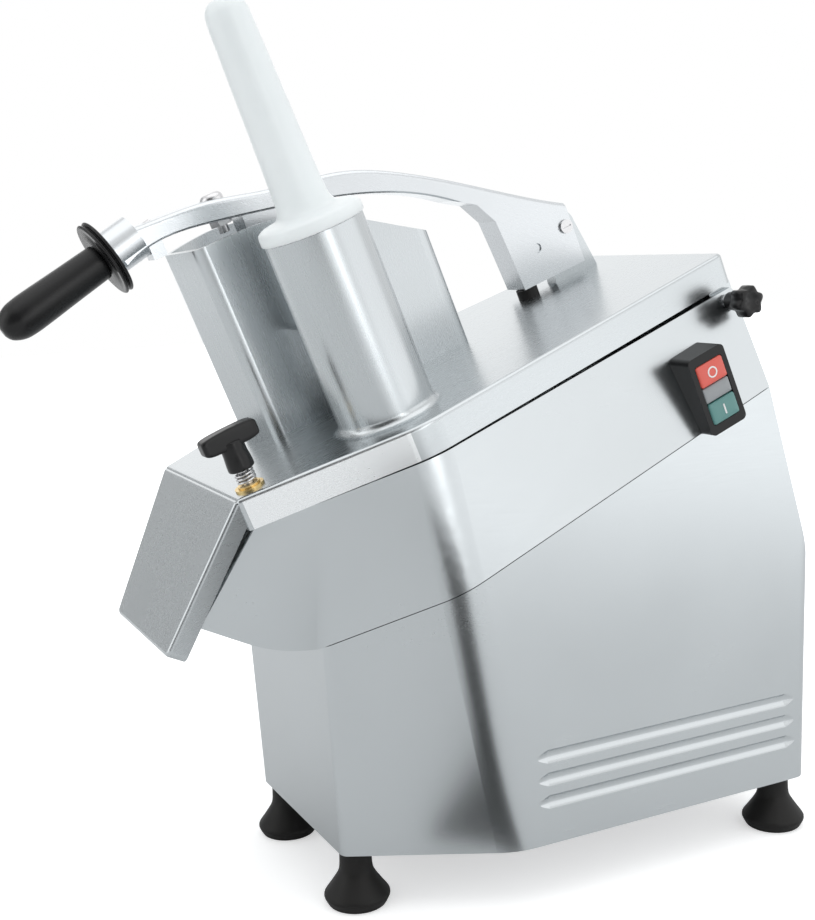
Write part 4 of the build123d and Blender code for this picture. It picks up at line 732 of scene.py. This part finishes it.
@dataclass
class Knobs:
    """Lock knob with its spring and washer, and the hinge's star knob."""

    paints: Paintbox
    stud: tuple[float, float] = (16.0, -74.0)
    hinge: tuple[float, float] = (409.0, -34.7)
    wing_half: tuple[float, float] = (20.9, 7.4)
    wing_middle: float = 37.2
    wing_reach: float = 21.0
    lobes: int = 6
    wire_radius: float = 0.85
    wire_at: float = 6.4
    wire_span: tuple[float, float] = (4.1, 12.7)
    wire_turns: float = 3.4
    hub_ends: tuple[float, float] = (14, 35)
    hub: Profile = ((8.4, 14), (9.4, 15.2), (9.3, 20), (8.7, 26), (8.6, 31), (8.2, 35))
    star_rings: Profile = (
        (0, -109.6, 0), (6.9, -109.6, 0), (6.9, -120.6, 0), (9.6, -121.2, 1.0), (10.7, -122.4, 1.3),
        (10.85, -128, 1.3), (10.7, -133.2, 1.3), (9.6, -134.6, 1.0), (6.2, -134.9, 0.3), (5.4, -134.2, 0),
        (0, -134.2, 0),
    )

    def wing(self) -> bpy.types.Object:
        """Makes the lock knob's wing.

        A rounded box from sines and cosines raised to small powers. Its top is arched along the length, its
        underside rises at the ends, and its waist is narrower than its ends.

        Returns:
            The wing.
        """
        u = np.linspace(0, 2 * np.pi, 96, endpoint=False)[None, :]
        v = np.linspace(-np.pi / 2, np.pi / 2, 49)[:, None]
        long, wide = self.wing_half
        x = long * signed_power(np.cos(v), 0.2) * signed_power(np.cos(u), 0.22)
        y = wide * signed_power(np.cos(v), 0.2) * signed_power(np.sin(u), 0.3)
        height = signed_power(np.sin(v), 0.3) * np.ones_like(u)
        part = x / self.wing_reach
        top, bottom = 6.2 + 1.2 * (1 - part**2), 6.6 - 1.6 * part**4
        up = self.wing_middle + height * np.where(height > 0, top, bottom)
        local = np.dstack([x, y * (0.84 + 0.16 * part**2), up])
        grid = LID.place(self.stud[0], self.stud[1], 0) + local @ LID.axes() / MM_PER_M
        return grid_object("lock_wing", grid, close_around=True)

    def star(self) -> bpy.types.Object:
        """Makes the hinge's star knob.

        Each ring's radius swings once for each lobe; the swing fades towards the neck and the face.

        Returns:
            The star knob.
        """
        profile = np.array(self.star_rings)
        turn = np.linspace(0, 2 * np.pi, 120, endpoint=False)[None, :]
        radius = profile[:, :1] + profile[:, 2:] * np.cos(self.lobes * turn)
        local = np.dstack([radius * np.cos(turn), profile[:, 1:2] * np.ones_like(turn), radius * np.sin(turn)])
        grid = LID.place(self.hinge[0], 0, self.hinge[1]) + local @ LID.axes() / MM_PER_M
        return grid_object("star_knob", grid, close_around=True)

    def build(self) -> list[str]:
        """Builds and dresses the knobs and returns their names."""
        axes, foot = LID.axes(), LID.place(self.stud[0], self.stud[1], 0)
        low, high = self.hub_ends
        post = np.vstack([[[0, low]], smooth_profile(np.array(self.hub)), [[0, high]]])
        hub = turned("lock_hub", post, foot, axes[2], axes[0])
        wing, star = self.wing(), self.star()
        wire = coil("lock_coil", self.wire_at, self.wire_radius, self.wire_span, self.wire_turns, foot, axes)
        self.paints.dress("black_plastic", hub, wing, star)
        self.paints.dress("turned_steel", wire)
        for piece, body, node in ((hub, "lock_knob", "lock_knob"), (star, "hinge_knob", "hinge_knob")):
            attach(piece, body)
            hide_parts(node)
        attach(wing, "lock_knob")
        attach(wire, "lid")
        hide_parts("lock_spring")
        self.paints.dress_nodes("black_plastic", "cable_gland")
        self.paints.dress_nodes("turned_steel", "lock_stud", "hinge_pin")
        self.paints.dress_nodes("brass", "lock_washer", "stud_insert")
        return [hub.name, wing.name, star.name, wire.name]


@dataclass
class Switch:
    """Two sprung buttons with a lens between them in a black housing."""

    paints: Paintbox
    centre: tuple[float, float, float] = (0.187, -0.140, 0.362)
    turn: float = 22.0
    button: tuple[float, float, float] = (24.8, 16.8, 1.8)
    button_at: float = 15.1
    lens: tuple[float, float, float] = (24.8, 11.8, 1.4)
    bar: tuple[float, float, float] = (1.3, 8.0, 0.5)
    cap_rings: Profile = ((0, -7.9), (0, -0.4), (0.25, 0.6), (0.9, 1.15), (1.8, 1.3), (4.5, 1.42), (8.2, 1.46))
    lens_rings: Profile = ((0, -11.9), (0, -0.6), (0.3, -0.1), (0.9, 0.2), (2.2, 0.38), (5.6, 0.44))
    ring_mark: Profile = (
        (3.1, 1.3), (3.15, 1.75), (3.35, 1.87), (4.05, 1.87), (4.25, 1.75), (4.3, 1.3), (3.1, 1.3)
    )
    bar_mark: Profile = ((0, 1.3), (0, 1.75), (0.15, 1.87), (0.5, 1.88))

    def build(self) -> list[str]:
        """Dresses the switch and returns its names."""
        turn = np.radians(self.turn)
        axes = np.array([[np.cos(turn), 0, np.sin(turn)], [-np.sin(turn), 0, np.cos(turn)], [0, -1, 0]])
        centre = np.array(self.centre)
        cap = np.array(self.cap_rings)
        stop_at, start_at = (centre + sign * self.button_at * axes[1] / MM_PER_M for sign in (1, -1))
        stop = cushion("stop_cap", self.button, cap, stop_at, axes)
        start = cushion("start_cap", self.button, cap, start_at, axes)
        lens = cushion("lens_cap", self.lens, np.array(self.lens_rings), centre, axes)
        ring = turned("stop_ring", np.array(self.ring_mark), stop_at, axes[2], axes[0], 48)
        bar = cushion("start_bar", self.bar, np.array(self.bar_mark), start_at, axes)
        for piece, body, node, finish in (
            (stop, "stop_button", "stop_button", "red_button"),
            (start, "start_button", "start_button", "green_button"),
            (lens, "base", "switch_lens", "grey_lens"),
        ):
            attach(piece, body)
            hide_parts(node)
            self.paints.dress(finish, piece)
        for piece, body in ((ring, "stop_button"), (bar, "start_button")):
            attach(piece, body)
            self.paints.dress("white_mark", piece)
        self.paints.dress_nodes("black_plastic", "switch_housing")
        self.paints.dress_nodes("grey_plastic", "contact_block", "run_capacitor", "terminal_block")
        return [stop.name, start.name, lens.name, ring.name, bar.name]


@dataclass
class Drive:
    """Cutting disc, ejector, shaft, belt drive and motor inside the body."""

    paints: Paintbox

    def build(self) -> list[str]:
        """Dresses the drive and returns its names."""
        self.paints.dress_nodes("ground_blade_steel", "cutting_disc", "slicing_blades")
        self.paints.dress_nodes("white_nylon", "ejector_plate")
        self.paints.dress_nodes(
            "turned_steel", "disc_nut", "main_shaft", "upper_bearing", "lower_bearing", "shaft_spacer",
            "retaining_ring", "foot_bolts", "plate_screws", "flange_screws", "motor_posts", "motor_shaft",
            "motor_plate",
        )
        self.paints.dress_nodes("satin_lid_casting", "driven_pulley", "motor_pulley")
        self.paints.dress_nodes("motor_enamel", "motor_body", "motor_end_upper", "motor_end_lower")
        return ["cutting_disc", "ejector_plate", "motor_body"]


@dataclass(frozen=True)
class Lamp:
    """One rectangular soft lamp: its place and size in metres and its power in watts."""

    name: str
    place: tuple[float, float, float]
    size: tuple[float, float]
    power: float


@dataclass(frozen=True)
class Card:
    """One matt card standing on the floor, in metres, with its shade.

    The apron is how far it also runs along the floor towards the machine.
    """

    name: str
    middle: tuple[float, float]
    wide: float
    high: float
    grey: float
    apron: float = 0.0


@dataclass(frozen=True)
class Glow:
    """How a glow grows with the distance from the machine, in metres and strength."""

    start: float
    end: float
    low: float
    high: float


@dataclass
class Studio:
    """Pale floor, soft lights, mirrored cards and the camera."""

    position: tuple[float, float, float] = (-0.4513, -0.9600, 0.4791)
    azimuth: float = -24.984
    elevation: float = 9.094
    roll: float = -2.425
    focal: float = 1378.86
    centre: tuple[float, float] = (406.0, 463.5)
    size: tuple[int, int] = (815, 920)
    sensor: float = 36.0
    aim: tuple[float, float, float] = (0.0, 0.0, 0.3)
    floor_half: float = 6.0
    seen_glow: Glow = Glow(0.25, 1.1, 0.5, 1.0)
    mirrored_glow: Glow = Glow(0.9, 3.0, 0.0, 0.8)
    world_colour: Colour = (0.72, 0.735, 0.745)
    card_lift: float = 0.004
    cards: tuple[Card, ...] = (
        Card("front_card", (-1.35, -1.5), 2.2, 1.8, 0.1, apron=0.01),
        Card("turn_card", (-0.07, -0.4), 0.13, 0.22, 0.06, apron=0.2),
        Card("hood_card", (-1.2, 1.7), 1.5, 1.7, 0.65),
    )
    lamps: tuple[Lamp, ...] = (
        Lamp("right_box", (2.3, -1.8, 1.1), (3.0, 2.2), 8.0),
        Lamp("turn_strip", (0.2, -2.2, 0.8), (0.4, 1.8), 4.0),
        Lamp("left_box", (-2.5, 0.5, 1.2), (1.2, 1.8), 5.0),
        Lamp("top_box", (-0.1, -0.2, 2.5), (3.0, 2.4), 14.0),
        Lamp("back_box", (0.6, 2.6, 1.3), (2.6, 1.6), 4.0),
    )

    def camera(self) -> None:
        """Places the camera at the photograph's angle, with its lens and small shift."""
        azimuth, elevation, roll = np.radians([self.azimuth, self.elevation, self.roll])
        flat, rise = np.cos(elevation), np.sin(elevation)
        back = np.array([np.sin(azimuth) * flat, -np.cos(azimuth) * flat, rise])
        level = np.array([np.cos(azimuth), np.sin(azimuth), 0])
        up = np.cross(back, level)
        right = level * np.cos(roll) + up * np.sin(roll)
        upright = -level * np.sin(roll) + up * np.cos(roll)
        data = bpy.data.cameras.new("camera")
        data.lens = self.focal / max(self.size) * self.sensor
        data.sensor_width = self.sensor
        data.shift_x = (self.size[0] / 2 - self.centre[0]) / max(self.size)
        data.shift_y = (self.centre[1] - self.size[1] / 2) / max(self.size)
        data.clip_start = 0.01
        made = bpy.data.objects.new("camera", data)
        turn = np.column_stack([right, upright, back])
        made.matrix_world = Matrix.Translation(self.position) @ Matrix(turn.tolist()).to_4x4()
        bpy.context.scene.collection.objects.link(made)
        bpy.context.scene.camera = made

    def lamp(self, lamp: Lamp) -> None:
        """Adds one soft lamp that faces the machine.

        Args:
            lamp: the lamp to add.
        """
        data = bpy.data.lights.new(lamp.name, "AREA")
        data.shape = "RECTANGLE"
        data.size, data.size_y = lamp.size
        data.energy = lamp.power
        made = bpy.data.objects.new(lamp.name, data)
        direction = Vector(lamp.place) - Vector(self.aim)
        turn = direction.to_track_quat("Z", "Y").to_matrix().to_4x4()
        made.matrix_world = Matrix.Translation(lamp.place) @ turn
        bpy.context.scene.collection.objects.link(made)

    def floor(self) -> None:
        """Lays a wide pale floor that keeps the object's shadow."""
        lines = np.linspace(-self.floor_half, self.floor_half, 5)
        x, y = np.meshgrid(lines, lines, indexing="ij")
        made = grid_object("floor", np.dstack([x, y, np.zeros_like(x)]), close_around=False)
        material = bpy.data.materials.new("pale_floor")
        material.use_nodes = True
        write = NodeWriter(material.node_tree)
        shader = material.node_tree.nodes["Principled BSDF"]
        shader.inputs["Base Color"].default_value = (0.88, 0.88, 0.88, 1)
        shader.inputs["Roughness"].default_value = 0.9
        shader.inputs["Specular IOR Level"].default_value = 0.1
        place = write.add("ShaderNodeTexCoord")
        distance = write.add("ShaderNodeVectorMath", operation="LENGTH")
        write.link(place.outputs["Object"], distance.inputs[0])
        strengths = []
        for grown in (self.seen_glow, self.mirrored_glow):
            reach = write.add("ShaderNodeMapRange", interpolation_type="SMOOTHSTEP")
            reach.inputs["From Min"].default_value, reach.inputs["From Max"].default_value = grown.start, grown.end
            reach.inputs["To Min"].default_value, reach.inputs["To Max"].default_value = grown.low, grown.high
            write.link(distance.outputs["Value"], reach.inputs["Value"])
            strengths.append(reach.outputs[0])
        glow = write.add("ShaderNodeEmission")
        rays = write.add("ShaderNodeLightPath")
        direct = write.maths("MULTIPLY", rays.outputs["Is Camera Ray"], strengths[0])
        bounced = write.maths("ADD", rays.outputs["Is Glossy Ray"], rays.outputs["Is Transmission Ray"])
        bounced = write.maths("MULTIPLY", bounced, strengths[1])
        write.link(write.maths("ADD", direct, bounced), glow.inputs["Strength"])
        both = write.add("ShaderNodeAddShader")
        write.link(shader.outputs[0], both.inputs[0])
        write.link(glow.outputs[0], both.inputs[1])
        write.link(both.outputs[0], material.node_tree.nodes["Material Output"].inputs["Surface"])
        made.data.materials.append(material)

    def card(self, card: Card) -> None:
        """Stands a matt card on the floor that only mirrors see, to shade the metal.

        Its points lie on an L: from the apron's end to the card's foot, and from there up to its top.

        Args:
            card: the card to add.
        """
        spot, upward = np.array([*card.middle, 0.0]), np.array([0, 0, 1])
        sideways = np.cross(spot / np.linalg.norm(spot), upward)
        inward = -spot / np.linalg.norm(spot)
        across, step = np.meshgrid(np.linspace(-card.wide / 2, card.wide / 2, 3), np.arange(3), indexing="ij")
        along = np.array([card.apron, 0.0, 0.0])[step]
        up = np.array([self.card_lift, self.card_lift, card.high])[step]
        grid = spot + across[..., None] * sideways + along[..., None] * inward + up[..., None] * upward
        made = grid_object(card.name, grid, close_around=False)
        material = bpy.data.materials.new(card.name)
        material.use_nodes = True
        shader = material.node_tree.nodes["Principled BSDF"]
        shader.inputs["Base Color"].default_value = (card.grey, card.grey, card.grey, 1)
        shader.inputs["Roughness"].default_value = 1.0
        made.data.materials.append(material)
        made.visible_camera = made.visible_diffuse = made.visible_shadow = False

    def world(self) -> None:
        """Gives the world its even light, and a white background to the camera and to mirrors."""
        world = bpy.data.worlds.new("studio")
        bpy.context.scene.world = world
        world.use_nodes = True
        tree = world.node_tree
        write = NodeWriter(tree)
        rays = write.add("ShaderNodeLightPath")
        plain, shown = tree.nodes["Background"], write.add("ShaderNodeBackground")
        plain.inputs["Color"].default_value = (*self.world_colour, 1)
        plain.inputs["Strength"].default_value = 1.0
        shown.inputs["Color"].default_value = (1, 1, 1, 1)
        mix = write.add("ShaderNodeMixShader")
        seen = write.maths("ADD", rays.outputs["Is Camera Ray"], rays.outputs["Is Glossy Ray"])
        seen = write.maths("ADD", seen, rays.outputs["Is Transmission Ray"])
        write.link(seen, mix.inputs[0])
        write.link(plain.outputs[0], mix.inputs[1])
        write.link(shown.outputs[0], mix.inputs[2])
        write.link(mix.outputs[0], tree.nodes["World Output"].inputs["Surface"])

    def build(self) -> None:
        """Sets the camera, floor, cards, lamps and world."""
        self.camera()
        self.floor()
        for card in self.cards:
            self.card(card)
        for lamp in self.lamps:
            self.lamp(lamp)
        self.world()
        bpy.context.scene.view_settings.view_transform = "Standard"



def main() -> None:
    """Builds every sub-assembly in order and reports its pieces."""
    logging.basicConfig(level=logging.INFO, format="%(name)s: %(message)s")
    Studio().build()
    paints = Paintbox()
    paints.mix()
    for part in (Castings, RoundPusher, Handle, Feet, Knobs, Switch, Drive):
        for piece in part(paints).build():
            log.info("%s: %s", part.__name__, piece)


if __name__ == "__main__":
    main()
